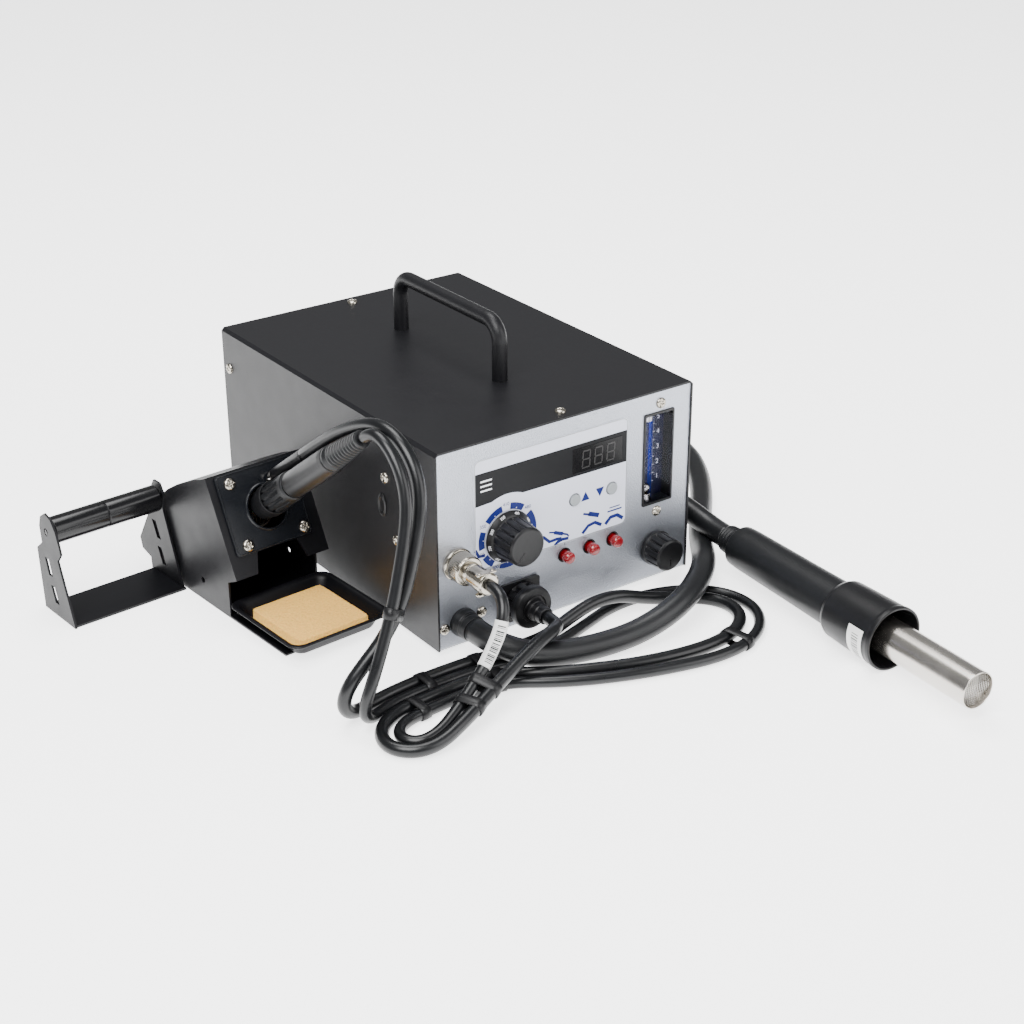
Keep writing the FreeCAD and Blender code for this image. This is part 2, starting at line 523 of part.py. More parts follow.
# ---------------------------------------------------------------- stand
SIDE = [("0", "0"), ("90", "0"), ("90", "25"), ("76", "54"), ("65", "63"), ("52", "71"),
        ("32", "81"), ("24", "84"), ("0", "26")]


def side_plate(name, u, t):
    """One cheek of the holder's housing, u = its left face."""
    return padded(name, SIDE, t, "YZ_Plane", (u, "0", "0"))


shell_out = padded("shell_out", SIDE, "stand_w - 2 * stand_t", "YZ_Plane",
                   ("stand_t", "0", "0"))
inner = []
for (v, z), (dv, dz) in zip(SIDE, ((-40, 1.2), (-1.2, 1.2), (-1.2, -0.2), (-0.9, -0.7),
                                   (-0.7, -1.0), (-0.6, -1.05), (-0.5, -1.1), (-40, -1.1),
                                   (-40, 0))):
    inner.append(("%s + %s" % (v, dv), "%s + %s" % (z, dz)))
shell_in = padded("shell_in", inner, "stand_w", "YZ_Plane", ("0", "0", "0"))
shell = cut("shell", shell_out, [shell_in])
tongue = box("tongue_plate", ("stand_w", "tongue", "stand_t"), ("0", "-tongue", "0"))
rivet_holes = rod("rivet_hole", "2", "stand_w + 2", ("-1", "30", "14"), (0, 90, 0))
stand_raw = fuse("stand_raw", [side_plate("cheek_left", "0", "stand_t"),
                               side_plate("cheek_right", "stand_w - stand_t", "stand_t"),
                               shell, tongue])
node(cut("stand_body", stand_raw, [rivet_holes], STAND, YAW))

# front frame, its face plate and the wire guard behind the mouth
LEAN = ("stand_turn", 0, "-lean_deg")
BEZEL = on_stand("0", "bezel_v", "bezel_z")
frame_plate = padded("frame_plate", [
    ("frame_u - frame_w / 2", "frame_lo"), ("14", "frame_lo"), ("18", "0"), ("46", "0"),
    ("50", "frame_lo"), ("frame_u + frame_w / 2", "frame_lo"),
    ("frame_u + frame_w / 2", "frame_hi"), ("frame_u - frame_w / 2", "frame_hi")],
    "stand_t", "XZ_Plane", ("0", "stand_t", "0"))
flanges = [box("frame_flange_%d" % i, ("stand_t", "frame_flange", "frame_hi - frame_lo"),
               (u, "0", "frame_lo"))
           for i, u in enumerate(("frame_u - frame_w / 2",
                                  "frame_u + frame_w / 2 - stand_t"))]
lip = box("frame_lip", ("frame_w", "9", "stand_t"),
          ("frame_u - frame_w / 2", "0", "frame_hi - stand_t"))
frame_mouth = rod("frame_mouth", "mouth_r + 2", "20", ("mouth_u", "10", "mouth_s"), IN)
bz_spots = [("mouth_u + %d * bz_screw_u" % s, "-bezel_t", "bz_screw_" + end)
            for end in ("lo", "hi") for s in (-1, 1)]
frame_taps = [rod("frame_tap_%d" % i, "screw_shank_r + fit_gap", "12", (x, "6", z), IN)
              for i, (x, y, z) in enumerate(bz_spots)]
node(cut("holder_frame", fuse("frame_raw", [frame_plate, lip] + flanges),
         [frame_mouth] + frame_taps, BEZEL, LEAN))
bezel_plate = padded("bezel_plate", round_rect("bezel_w", "bezel_h", "2", "bezel_u",
                                               "bezel_h / 2"),
                     "bezel_t", "XZ_Plane", ("0", "0", "0"))
bezel_mouth = rod("bezel_mouth", "mouth_r", "20", ("mouth_u", "10", "mouth_s"), IN)
bezel_taps = [rod("bezel_tap_%d" % i, "screw_shank_r + fit_gap", "12", (x, "6", z), IN)
              for i, (x, y, z) in enumerate(bz_spots)]
node(cut("holder_bezel", bezel_plate, [bezel_mouth] + bezel_taps, BEZEL, LEAN))
bz_items = []
for i, (x, y, z) in enumerate(bz_spots):
    bz_items.append(turned("bezel_screw_%d" % (i + 1), [
        ("0", "-4"), ("screw_shank_r", "-4"), ("screw_shank_r", "0"), ("bz_screw_r", "0"),
        ("bz_screw_r", "0.8"), ("bz_screw_r * 0.7", "1.8"), ("0", "2.2")], (x, y, z), IN))
node(group("bezel_screws", bz_items, BEZEL, LEAN))

# sponge tray and sponge


def tray_loft(name, inset_low, inset_high, low, high):
    """A tray shape: a smaller rounded rectangle below a larger one."""
    loft = doc.addObject("Part::Loft", name)
    wires = []
    for k, (inset, z) in enumerate(((inset_low, low), (inset_high, high))):
        points = round_rect("tray_w - 2 * (%s)" % inset, "tray_d - 2 * (%s)" % inset,
                            "tray_corner - (%s) * 0.4" % inset)
        sketch = doc.addObject("Sketcher::SketchObject", "%s_ring_%d" % (name, k))
        spots = [FreeCAD.Vector(num(a), num(b), 0) for a, b in points]
        for i in range(len(spots)):
            sketch.addGeometry(Part.LineSegment(spots[i], spots[(i + 1) % len(spots)]), False)
        for i in range(len(spots)):
            sketch.addConstraint(Sketcher.Constraint("Coincident", i, 2,
                                                     (i + 1) % len(spots), 1))
        for i, (a, b) in enumerate(points):
            for kind, text, value in (("DistanceX", a, spots[i].x),
                                      ("DistanceY", b, spots[i].y)):
                j = sketch.addConstraint(Sketcher.Constraint(kind, -1, 1, i, 1, value))
                sketch.setExpression("Constraints[%d]" % j, tie(text))
        wires.append(place(sketch, ("tray_u", "tray_v", z)))
    loft.Sections = wires
    loft.Solid = True
    loft.Ruled = True
    return loft


TRAY_Z = "stand_t + tray_lift"
tray_wall = tray_loft("tray_wall", "tray_rim + tray_slope", "tray_rim", TRAY_Z,
                      "%s + tray_h" % TRAY_Z)
tray_cup = tray_loft("tray_cup", "tray_rim + tray_slope + tray_t",
                     "tray_rim + tray_t - tray_slope * tray_t / tray_h",
                     "%s + tray_t" % TRAY_Z, "%s + tray_h + tray_t" % TRAY_Z)
tray_rim_plate = padded("tray_rim_plate", round_rect("tray_w", "tray_d", "tray_corner"),
                        "tray_t", "XY_Plane",
                        ("tray_u", "tray_v", "%s + tray_h - tray_t" % TRAY_Z))
node(cut("sponge_tray", fuse("tray_raw", [tray_wall, tray_rim_plate]), [tray_cup], STAND, YAW))
sponge_pad = padded("sponge_pad", round_rect(
    "tray_w - 2 * (tray_rim + tray_slope + tray_t + sponge_gap)",
    "tray_d - 2 * (tray_rim + tray_slope + tray_t + sponge_gap)", "3"), "sponge_h", "XY_Plane",
    ("tray_u", "tray_v", "%s + tray_t" % TRAY_Z))
node(group("sponge", [sponge_pad], STAND, YAW))

# solder spool bracket with its roller
LEFT_ARM = [("48", "0"), ("55", "20"), ("62", "40"), ("57", "46"), ("58.5", "52"),
            ("61.5", "60"), ("66", "66"), ("73", "68"), ("79", "64"), ("81.5", "57"),
            ("80.5", "46"), ("88", "40"), ("86", "2"), ("86", "0")]
RIGHT_ARM = [("51", "0"), ("61", "28"), ("68", "48"), ("66", "60"), ("70", "66"), ("77", "66"),
             ("81", "60"), ("80", "50"), ("90", "35"), ("101", "17.5"), ("99", "10.4"),
             ("89", "7.7"), ("88.5", "0")]
spool_floor = box("spool_floor", ("spool_w", "37", "spool_t"), ("spool_u", "49", "0"))
arm_left = padded("arm_left", LEFT_ARM, "spool_t", "YZ_Plane", ("spool_u", "0", "0"))
arm_right = padded("arm_right", RIGHT_ARM, "spool_t", "YZ_Plane",
                   ("spool_u + spool_w - spool_t", "0", "0"))
tools = [rod("arm_bore", "pin_r + pin_gap", "spool_w + 4", ("spool_u - 2", "spool_v",
                                                            "spool_z"), (0, 90, 0))]
for i, (u, slot) in enumerate((("spool_u - 1", (("76.5", "37"), ("73.5", "26"))),
                               ("spool_u - 1", (("72.5", "19.5"), ("68.7", "8.7"))),
                               ("spool_u + spool_w - 3", (("81", "37"), ("76", "25.5"))),
                               ("spool_u + spool_w - 3", (("76.7", "19.6"), ("72", "8.7"))))):
    (v1, z1), (v2, z2) = slot
    tools.append(padded("arm_slot_%d" % i, [(v2 + " - 2.4", z2), (v2 + " + 2.4", z2),
                                            (v1 + " + 2.4", z1), (v1 + " - 2.4", z1)], "4", "YZ_Plane",
                        (u, "0", "0")))
node(cut("spool_bracket", fuse("bracket_raw", [spool_floor, arm_left, arm_right]), tools,
         STAND, YAW))
ROLL = "spool_w - 2 * spool_t - 2 * roller_side"
roller = turned("roller_turned", [
    ("0", "-spool_t - roller_side"), ("pin_r", "-spool_t - roller_side"), ("pin_r", "0"),
    ("roller_r - 0.6", "0"), ("roller_r", "0.6"), ("roller_r", "(%s) / 2 - 0.8" % ROLL),
    ("roller_r - 0.8", "(%s) / 2" % ROLL), ("roller_r", "(%s) / 2 + 0.8" % ROLL),
    ("roller_r", "(%s) - 0.6" % ROLL), ("roller_r - 0.6", ROLL), ("pin_r", ROLL),
    ("pin_r", "(%s) + spool_t + roller_side" % ROLL),
    ("0", "(%s) + spool_t + roller_side" % ROLL)],
    ("spool_u + spool_t + roller_side", "spool_v", "spool_z"), (0, 90, 0))
node(group("spool_roller", [roller], STAND, YAW))

# ---------------------------------------------------------------- soldering iron
IRON = on_stand("iron_u", "iron_v", "iron_z")
TILT = ("stand_turn", 0, "iron_tilt")
guard = turned("wire_guard", [
    ("guard_r - guard_t", "-guard_l - 5"), ("guard_r", "-guard_l - 5"), ("guard_r", "-5.5"),
    ("guard_r - guard_t", "-5.5")], IRON, TILT)
node(guard)
node(turned("iron_grip", [
    ("barrel_r + 1.5", "0.2"), ("grip_r - 1.2", "0.2"), ("grip_r", "2"),
    ("grip_r", "grip_l - 2"), ("grip_r - 0.8", "grip_l"), ("0", "grip_l"), ("0", "12"),
    ("barrel_r + 1.5", "12")], IRON, TILT))
node(turned("iron_handle", [
    ("0", "grip_l"), ("body_r - 0.6", "grip_l"), ("body_r", "grip_l + 2"),
    ("body_r", "grip_l + body_l"), ("0", "grip_l + body_l")], IRON, TILT))
node(turned("iron_boot", [
    ("0", "grip_l + body_l"), ("body_r - 0.5", "grip_l + body_l"),
    ("body_r - 1", "grip_l + body_l + 10"), ("boot_r + 0.5", "grip_l + body_l + boot_l - 3"),
    ("boot_r", "grip_l + body_l + boot_l"), ("0", "grip_l + body_l + boot_l")], IRON, TILT))
node(turned("iron_tip", [
    ("0", "12"), ("barrel_r", "12"), ("barrel_r", "-barrel_l"),
    ("barrel_r - 1.4", "-barrel_l"), ("0.4", "-barrel_l - tip_l"), ("0", "-barrel_l - tip_l")],
    IRON, TILT))
smoke_rod = rod("smoke_rod", "pipe_r", "pipe_l", ("pipe_u", "pipe_up", "pipe_lo"))
clip_ring = rod("clip_ring", "grip_r + 1", "clip_w", ("0", "0", "pipe_lo + 1.5"))
clip_arm = box("clip_arm", ("3", "pipe_up - 2", "clip_w"), ("pipe_u * 0.45", "4", "pipe_lo + 1.5"))
smoke_bore = rod("smoke_bore", "pipe_r - pipe_t", "pipe_l + 2", ("pipe_u", "pipe_up", "pipe_lo - 1"))
clip_bore = rod("clip_bore", "grip_r", "clip_w + 6", ("0", "0", "pipe_lo - 2"))
node(cut("smoke_pipe", fuse("smoke_pipe_raw", [smoke_rod, clip_ring, clip_arm]),
         [smoke_bore, clip_bore], IRON, TILT))

# ---------------------------------------------------------------- hot-air gun
GUN = ("case_x + case_w / 2 + gun_off", "gun_y", "gun_z")
ALONG = ("gun_turn", 0, 90)
node(turned("gun_sleeve", [
    ("0", "-sleeve_l"), ("sleeve_r0", "-sleeve_l"), ("sleeve_r1", "0"), ("0", "0")],
    GUN, ALONG))
node(turned("gun_handle", [
    ("0", "0"), ("gun_r0 - 2", "0"), ("gun_r0", "3"), ("gun_r1", "gun_l - 4"),
    ("gun_r1", "gun_l"), ("heater_r + 3", "gun_l"), ("heater_r + 3", "gun_l - 8"),
    ("0", "gun_l - 8")], GUN, ALONG))
node(turned("gun_collar", [
    ("gun_r1", "gun_l"), ("gun_r1", "gun_l - 4"), ("collar_r0 - 1.5", "gun_l - 4"),
    ("collar_r0", "gun_l - 1"), ("collar_r1", "gun_l - 4 + collar_l"),
    ("collar_r1 - collar_t", "gun_l - 4 + collar_l"),
    ("collar_r0 - collar_t", "gun_l + 3"), ("heater_r + 4", "gun_l + 3"),
    ("heater_r + 4", "gun_l")], GUN, ALONG))
nozzle_wall = turned("nozzle_wall", [
    ("heater_r + 0.5", "gun_l + 3"), ("nozzle_r", "gun_l + 3"),
    ("nozzle_r", "gun_l + nozzle_l"), ("nozzle_r - nozzle_t", "gun_l + nozzle_l"),
    ("nozzle_r - nozzle_t", "gun_l + 5"), ("heater_r + 0.5", "gun_l + 5")])
node(turned("heater_core", [
    ("0", "gun_l - 8"), ("heater_r", "gun_l - 8"), ("heater_r", "gun_l + nozzle_l - 8"),
    ("heater_r - 2", "gun_l + nozzle_l - 8"), ("0", "gun_l + nozzle_l - 14")], GUN, ALONG))
mesh_disc = rod("nozzle_mesh", "nozzle_r - nozzle_t / 2", "1",
                ("0", "0", "gun_l + nozzle_l - 3"))
mesh_holes = [rod("mesh_hole_%d" % i, "1.6", "3",
                  ("%.3f" % (5.4 * math.cos(math.radians(60 * i))),
                   "%.3f" % (5.4 * math.sin(math.radians(60 * i))), "gun_l + nozzle_l - 4"))
              for i in range(6)]
node(cut("nozzle_tube", fuse("nozzle_raw", [nozzle_wall, mesh_disc]), mesh_holes, GUN, ALONG))

# ---------------------------------------------------------------- cords
HOSE_ROUTE = [
    (-15.6, -22.05, 18.8), (-15.6, -36.0, 18.8), (-8.0, -48.0, 15.5), (6.0, -54.0, 10.0),
    (24.0, -59.0, 7.8), (46.0, -64.0, 7.8), (69.0, -67.0, 9.5), (91.0, -68.0, 15.0),
    (111.0, -63.0, 19.5), (129.0, -52.0, 20.5), (145.0, -38.0, 19.0), (160.0, -21.0, 13.5),
    (174.0, -3.0, 8.4), (188.0, 15.0, 7.8), (206.0, 35.0, 7.8), (226.0, 57.0, 7.8),
    (245.0, 82.0, 7.8), (260.0, 109.0, 7.8), (267.0, 138.0, 7.8), (260.0, 167.0, 7.8),
    (240.0, 188.0, 7.8), (213.0, 193.0, 7.8), (188.0, 181.0, 7.8), (172.0, 158.0, 8.0),
    (167.0, 130.0, 10.0), (168.0, 101.0, 14.0), (171.0, 74.0, 20.0), (173.5, 50.0, 26.5),
    (176.0, 31.0, 28.5), (177.8, 16.0, 26.5), (180.6, 3.0, 21.9), (180.92, -9.0, 20.0),
    (180.21, -20.95, 20.0),
]
CABLE_ROUTE = [
    (-19.0, -42.25, 58.0), (-19.0, -52.0, 58.0), (-22.0, -60.5, 51.5), (-27.0, -63.5, 41.0),
    (-33.5, -64.0, 30.0), (-42.5, -66.5, 20.5), (-56.0, -72.5, 14.5), (-69.0, -79.0, 10.0),
    (-82.0, -84.0, 6.0), (-94.0, -84.0, 3.8), (-100.5, -76.5, 3.8), (-97.7, -67.0, 3.8),
    (-88.0, -61.0, 3.8), (-73.0, -59.0, 3.8), (-55.0, -57.5, 3.8), (-35.0, -57.0, 3.8),
    (-17.0, -62.0, 3.8), (1.0, -75.0, 3.8), (21.0, -86.0, 3.8), (45.0, -96.0, 3.8),
    (71.0, -104.0, 3.8), (95.0, -109.0, 3.8), (118.0, -108.0, 3.8), (139.0, -98.0, 3.8),
    (152.0, -81.0, 3.8), (154.0, -62.0, 3.8), (146.0, -45.0, 3.8), (129.0, -32.0, 3.8),
    (106.0, -25.0, 3.8), (81.0, -25.5, 3.8), (55.0, -34.0, 3.8), (29.0, -42.0, 3.8),
    (3.0, -43.0, 3.8), (-21.0, -40.0, 3.8), (-43.0, -39.3, 3.8), (-61.0, -39.5, 3.8),
    (-77.0, -40.5, 3.8), (-91.0, -43.5, 3.8), (-102.5, -49.0, 5.0), (-110.5, -54.5, 11.0),
    (-112.0, -57.5, 21.0), (-107.0, -57.5, 33.0), (-100.5, -55.2, 45.0), (-93.5, -52.2, 58.0),
    (-86.5, -48.7, 72.0), (-80.0, -45.0, 88.0), (-74.5, -41.5, 102.0), (-70.5, -38.2, 114.0),
    (-68.0, -34.0, 125.0), (-67.0, -28.5, 134.5), (-67.0, -21.0, 143.0), (-67.6, -12.5, 148.8),
    (-68.6, -2.58, 150.4), (-69.2, 5.84, 144.14),
]
TUBE_ROUTE = [
    (25.0, -37.05, 21.0), (25.0, -46.0, 21.0), (18.5, -55.5, 24.5), (3.0, -61.0, 24.0),
    (-15.0, -67.0, 20.5), (-34.0, -74.0, 16.5), (-52.0, -81.5, 13.0), (-70.0, -88.5, 9.5),
    (-87.0, -93.0, 5.5), (-101.0, -91.0, 4.3), (-110.0, -81.5, 4.3), (-110.0, -69.5, 4.3),
    (-102.5, -58.5, 4.3), (-88.0, -51.0, 4.3), (-70.0, -49.2, 4.3), (-51.0, -48.3, 4.3),
    (-32.0, -48.0, 4.3), (-14.0, -53.5, 4.3), (3.0, -66.0, 4.3), (25.0, -77.0, 4.3),
    (49.0, -87.0, 4.3), (75.0, -94.0, 4.3), (101.0, -97.0, 4.3), (123.0, -93.0, 4.3),
    (139.0, -81.0, 4.3), (143.0, -64.0, 4.3), (135.0, -49.0, 4.3), (119.0, -39.0, 4.3),
    (101.0, -34.0, 8.0), (83.0, -32.0, 14.8), (65.0, -30.2, 15.2), (47.0, -30.0, 10.0),
    (29.0, -31.8, 4.3), (7.0, -32.5, 4.3), (-19.0, -30.7, 4.3), (-43.0, -30.0, 4.3),
    (-66.0, -30.7, 4.3), (-86.0, -33.0, 4.3), (-102.0, -37.0, 4.3), (-113.5, -41.5, 8.0),
    (-118.5, -44.5, 17.0), (-115.0, -46.0, 28.0), (-105.0, -46.2, 38.0), (-94.5, -45.8, 47.0),
    (-85.0, -44.5, 57.0), (-77.0, -42.8, 69.0), (-70.8, -40.7, 82.0), (-65.5, -38.3, 95.5),
    (-61.0, -36.0, 108.5), (-57.5, -32.3, 121.0), (-56.0, -26.5, 132.0), (-56.0, -17.5, 141.5),
    (-57.0, -6.0, 147.5), (-58.5, 7.0, 149.0), (-60.0, 21.0, 144.5), (-61.5, 35.0, 137.5),
    (-63.0, 49.0, 129.0), (-64.5, 62.0, 119.5), (-65.7, 71.5, 112.32), (-66.2, 78.44, 107.14),
]

MARKER_ROUTE = [
    (-24.5, -62.0, 46.2), (-27.0, -63.5, 41.0), (-33.5, -64.0, 30.0), (-39.8, -65.7, 23.3),
]
# each clip: its middle, its yaw, pitch and roll, and its width over both strands
CLIPS = [
    (-44.6, -73.0, 16.8, -156.0, 22.1, -19.1, 20.2),
    (-58.6, -79.0, 12.5, -153.4, 17.2, -3.9, 18.9),
    (-23.1, -55.5, 4.3, -15.5, 0, 0, 18.7),
    (118.3, -100.8, 4.3, 22.7, 0, 0, 22.3),
    (-59.1, -35.0, 4.3, -178.6, 0, 180, 18.5),
    (-76.6, -54.7, 4.3, 7.2, 0, 0, 19.1),
    (-85.8, -47.0, 63.8, 26.6, -60.8, -76.8, 20.2),
    (-22.7, -35.3, 4.3, 176.8, 0, 180, 18.9),
]

def path_of(points):
    """Straight runs joined by tangent arcs; the radius is 0.45 of the shorter run / tan."""
    spots = [FreeCAD.Vector(*p) for p in points]
    edges = []
    radii = []
    here = spots[0]
    for i in range(1, len(spots) - 1):
        back = spots[i - 1] - spots[i]
        ahead = spots[i + 1] - spots[i]
        reach = 0.45 * min(back.Length, ahead.Length)
        back.normalize()
        ahead.normalize()
        half = (math.pi - back.getAngle(ahead)) / 2
        if half < 0.002:
            continue
        radii.append(reach / math.tan(half))
        start = spots[i] + back * reach
        end = spots[i] + ahead * reach
        inward = back + ahead
        inward.normalize()
        centre = spots[i] + inward * (radii[-1] / math.cos(half))
        middle = centre - inward * radii[-1]
        edges.append(Part.LineSegment(here, start).toShape())
        edges.append(Part.Arc(start, middle, end).toShape())
        here = end
    edges.append(Part.LineSegment(here, spots[-1]).toShape())
    return Part.Wire(edges), radii


def swept(points, outer, inner=0):
    """A round cord along a path; inner > 0 makes it a sleeve."""
    path, radii = path_of(points)
    first = path.Edges[0]
    start = first.valueAt(first.FirstParameter)
    way = first.tangentAt(first.FirstParameter)
    solids = []
    for radius in (outer, inner):
        if radius > 0:
            ring = Part.Wire([Part.makeCircle(radius, start, way)])
            solids.append(path.makePipeShell([ring], True, False))
    solid = solids[0] if len(solids) == 1 else solids[0].cut(solids[1])
    if solid.Volume < 0:
        solid.reverse()
    area = math.pi * (outer ** 2 - inner ** 2)
    print("  length %.1f, smallest radius %.1f, volume / (section x length) %.4f"
          % (path.Length, min(radii), solid.Volume / (area * path.Length)))
    return solid


def cord(name, points, outer, inner=0):
    """A cord's object; its route stays as listed and its thickness comes from the sheet."""
    print(name)
    obj = doc.addObject("Part::Feature", name)
    obj.Shape = swept(points, outer, inner)
    return node(obj)


cord("hot_air_hose", HOSE_ROUTE, num("hose_dia / 2"))
cord("iron_cable", CABLE_ROUTE, num("cable_dia / 2"))
cord("smoke_tube", TUBE_ROUTE, num("tube_dia / 2"))
# the blank marker sleeve round the iron's cable near its plug
cord("cable_marker", MARKER_ROUTE, num("cable_dia / 2 + marker_t"), num("cable_dia / 2"))

clips = []
for i, (x, y, z, yaw, pitch, roll, wide) in enumerate(CLIPS):
    at = (x, y, z)
    turn = (yaw, pitch, roll)
    tall = "tube_dia + 0.6"
    body = box("clip_body_%d" % i, ("7", str(wide), tall),
               ("-3.5", "-%s / 2" % wide, "-(%s) / 2" % tall))
    bores = [rod("clip_bore_%d_%d" % (i, k), radius, "9",
                 ("-4.5", "%d * (%s - 9.5) / 2" % (side, wide), "0"), (0, 90, 0))
             for k, (side, radius) in enumerate(((-1, "cable_dia / 2"), (1, "tube_dia / 2")))]
    clips.append(cut("clip_%d" % i, body, bores, at, turn))
node(group("cable_clips", clips))

doc.recompute()
bad = []
for obj in doc.Objects:
    if "Invalid" in obj.State or "Error" in obj.State:
        bad.append("%s is not computed: %s" % (obj.Name, obj.State))
for obj in NODES:
    if obj.Shape.isNull() or not obj.Shape.isValid() or obj.Shape.Volume <= 0:
        bad.append("%s has no sound shape" % obj.Name)
if bad:
    raise SystemExit("\n".join(bad))
for obj in NODES:
    obj.Label = obj.Name
    obj.Shape.exportStep("parts/%s.step" % obj.Label)
print(len(NODES), "pieces written")
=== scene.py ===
# %% [markdown]
# # Soldering and hot-air station
# A steel case with front controls, a soldering iron in its holder with a sponge tray and a
# spool bracket, and a hot-air gun on its hose.  Sizes below are millimetres in the frame of
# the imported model; the meshes are written in metres.

# %% Load the frame
import math

import bpy
import numpy as np
from mathutils import Matrix, Vector


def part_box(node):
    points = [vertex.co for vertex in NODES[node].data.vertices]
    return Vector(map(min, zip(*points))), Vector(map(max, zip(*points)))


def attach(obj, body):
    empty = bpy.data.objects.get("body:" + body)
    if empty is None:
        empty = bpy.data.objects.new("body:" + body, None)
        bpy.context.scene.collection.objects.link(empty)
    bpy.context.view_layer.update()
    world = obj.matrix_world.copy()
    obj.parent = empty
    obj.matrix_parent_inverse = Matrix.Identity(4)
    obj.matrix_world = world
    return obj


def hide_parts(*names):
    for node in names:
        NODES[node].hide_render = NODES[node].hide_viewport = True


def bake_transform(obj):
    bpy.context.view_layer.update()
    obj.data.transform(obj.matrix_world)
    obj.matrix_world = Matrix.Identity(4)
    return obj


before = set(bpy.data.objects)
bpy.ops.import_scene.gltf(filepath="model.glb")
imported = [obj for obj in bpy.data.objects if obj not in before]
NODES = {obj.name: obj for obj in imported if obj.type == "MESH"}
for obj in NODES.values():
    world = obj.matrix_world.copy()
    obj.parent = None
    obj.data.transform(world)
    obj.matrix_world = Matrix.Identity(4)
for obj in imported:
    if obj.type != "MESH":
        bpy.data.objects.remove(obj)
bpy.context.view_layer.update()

# %% [markdown]
# ## Mesh helpers
# Every piece is written point by point in a small frame of its own (the front panel, the
# holder's face, the iron's axis, the gun's axis) and then carried into the model's frame, so
# objects stay at the origin.

# %% Frames
MM = 0.001


def axes(origin, x, y, z):
    """A 4 x 4 frame from an origin in mm and three unit directions."""
    m = np.eye(4)
    m[:3, 0], m[:3, 1], m[:3, 2], m[:3, 3] = x, y, z, origin
    return m


def yaw(deg):
    """A turn about the upright axis."""
    c, s = math.cos(math.radians(deg)), math.sin(math.radians(deg))
    m = np.eye(4)
    m[:2, :2] = [[c, -s], [s, c]]
    return m


lo, hi = (np.array(c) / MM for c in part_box("front_panel"))
CASE_X = (lo[0] + hi[0]) / 2
FRONT_Y = lo[1]
FRONT = axes((CASE_X, FRONT_Y, 0), (1, 0, 0), (0, 0, 1), (0, -1, 0))   # z leaves the panel
WORLD = np.eye(4)
STAND = axes((-108.2, 104.7, 0), (1, 0, 0), (0, 1, 0), (0, 0, 1)) @ yaw(4)
LEAN = math.radians(26)
BEZEL = STAND @ axes((0, -6.5, 42.1), (1, 0, 0), (0, math.sin(LEAN), math.cos(LEAN)),
                     (0, -math.cos(LEAN), math.sin(LEAN)))
TILT = math.radians(53.3)
IRON = STAND @ axes((32, 7, 63.4), (1, 0, 0), (0, math.cos(TILT), math.sin(TILT)),
                    (0, -math.sin(TILT), math.cos(TILT)))
GUN = axes((179.5, -33, 20), (1, 0, 0), (0, 1, 0), (0, 0, 1)) @ yaw(-3.42) @ axes(
    (0, 0, 0), (1, 0, 0), (0, 0, 1), (0, -1, 0))


def moved(frame_, points):
    """Points in mm of a frame, as metres of the model: (turn x point + origin) / 1000."""
    p = np.asarray(points, float).reshape(-1, 3)
    return (p @ frame_[:3, :3].T + frame_[:3, 3]) * MM


# %% [markdown]
# ## Grids and turned pieces
# A knob, a nozzle or a button is a turned piece: one profile carried round an axis. It could be
# modelled by hand with Spin, but a grid of two parameters, the place along the profile and the
# angle, gives every point at once and lets a rib or a flute be a formula on the radius.

# %% Grids and turned pieces
def mesh_piece(name, points, faces, frame_=WORLD, smooth=True):
    """A mesh object from points in mm of a frame and faces as lists of point numbers."""
    mesh = bpy.data.meshes.new(name)
    mesh.from_pydata(moved(frame_, points).tolist(), [], list(faces))
    mesh.update()
    obj = bpy.data.objects.new(name, mesh)
    bpy.context.scene.collection.objects.link(obj)
    if smooth:
        mesh.shade_smooth()
    return obj


def grid_faces(nu, nv, close_u=False, close_v=False, start=0):
    """Quads of an nu x nv grid numbered row by row: point (i, j) has number i nv + j, and a
    quad joins (i, j), (i + 1, j), (i + 1, j + 1) and (i, j + 1), wrapping where closed."""
    i = np.arange(nu if close_u else nu - 1)[:, None]
    j = np.arange(nv if close_v else nv - 1)[None, :]
    i1, j1 = (i + 1) % nu, (j + 1) % nv
    quads = np.broadcast_arrays(i * nv + j, i1 * nv + j, i1 * nv + j1, i * nv + j1)
    return (start + np.stack(quads, -1)).reshape(-1, 4).tolist()


def rounded(profile, steps=4):
    """A profile with rounded corners; each is (r, z) or (r, z, radius).  A rounded corner
    is the curve (1 - t)^2 start + 2 t (1 - t) corner + t^2 end, for t from 0 to 1."""
    pts = [np.array(p[:2], float) for p in profile]
    out = []
    for i, p in enumerate(profile):
        if len(p) < 3 or i in (0, len(profile) - 1):
            out.append(pts[i])
            continue
        a, b = pts[i - 1] - pts[i], pts[i + 1] - pts[i]
        la, lb = np.linalg.norm(a), np.linalg.norm(b)
        a, b = a / la, b / lb
        half = math.acos(max(-1, min(1, float(a @ b)))) / 2
        reach = min(p[2] / max(math.tan(half), 1e-6), la * 0.49, lb * 0.49)
        p0, p2 = pts[i] + a * reach, pts[i] + b * reach
        for t in np.linspace(0, 1, steps + 1):
            out.append((1 - t) ** 2 * p0 + 2 * t * (1 - t) * pts[i] + t * t * p2)
    return np.array(out)


def lathe(name, profile, frame_, at=(0, 0, 0), segs=64, shape=None, steps=4):
    """A turned piece: x = r cos a, y = r sin a, z = height; shape(r, z, a) may change r."""
    prof = rounded(profile, steps)
    ang = np.linspace(0, 2 * math.pi, segs, endpoint=False)
    r = np.repeat(prof[:, :1], segs, 1)
    z = np.repeat(prof[:, 1:], segs, 1)
    a = np.repeat(ang[None, :], len(prof), 0)
    if shape is not None:
        r = shape(r, z, a)
    pts = np.stack([r * np.cos(a) + at[0], r * np.sin(a) + at[1], z + at[2]], -1)
    faces = grid_faces(len(prof), segs, close_v=True)
    return mesh_piece(name, pts.reshape(-1, 3), [f[::-1] for f in faces], frame_)

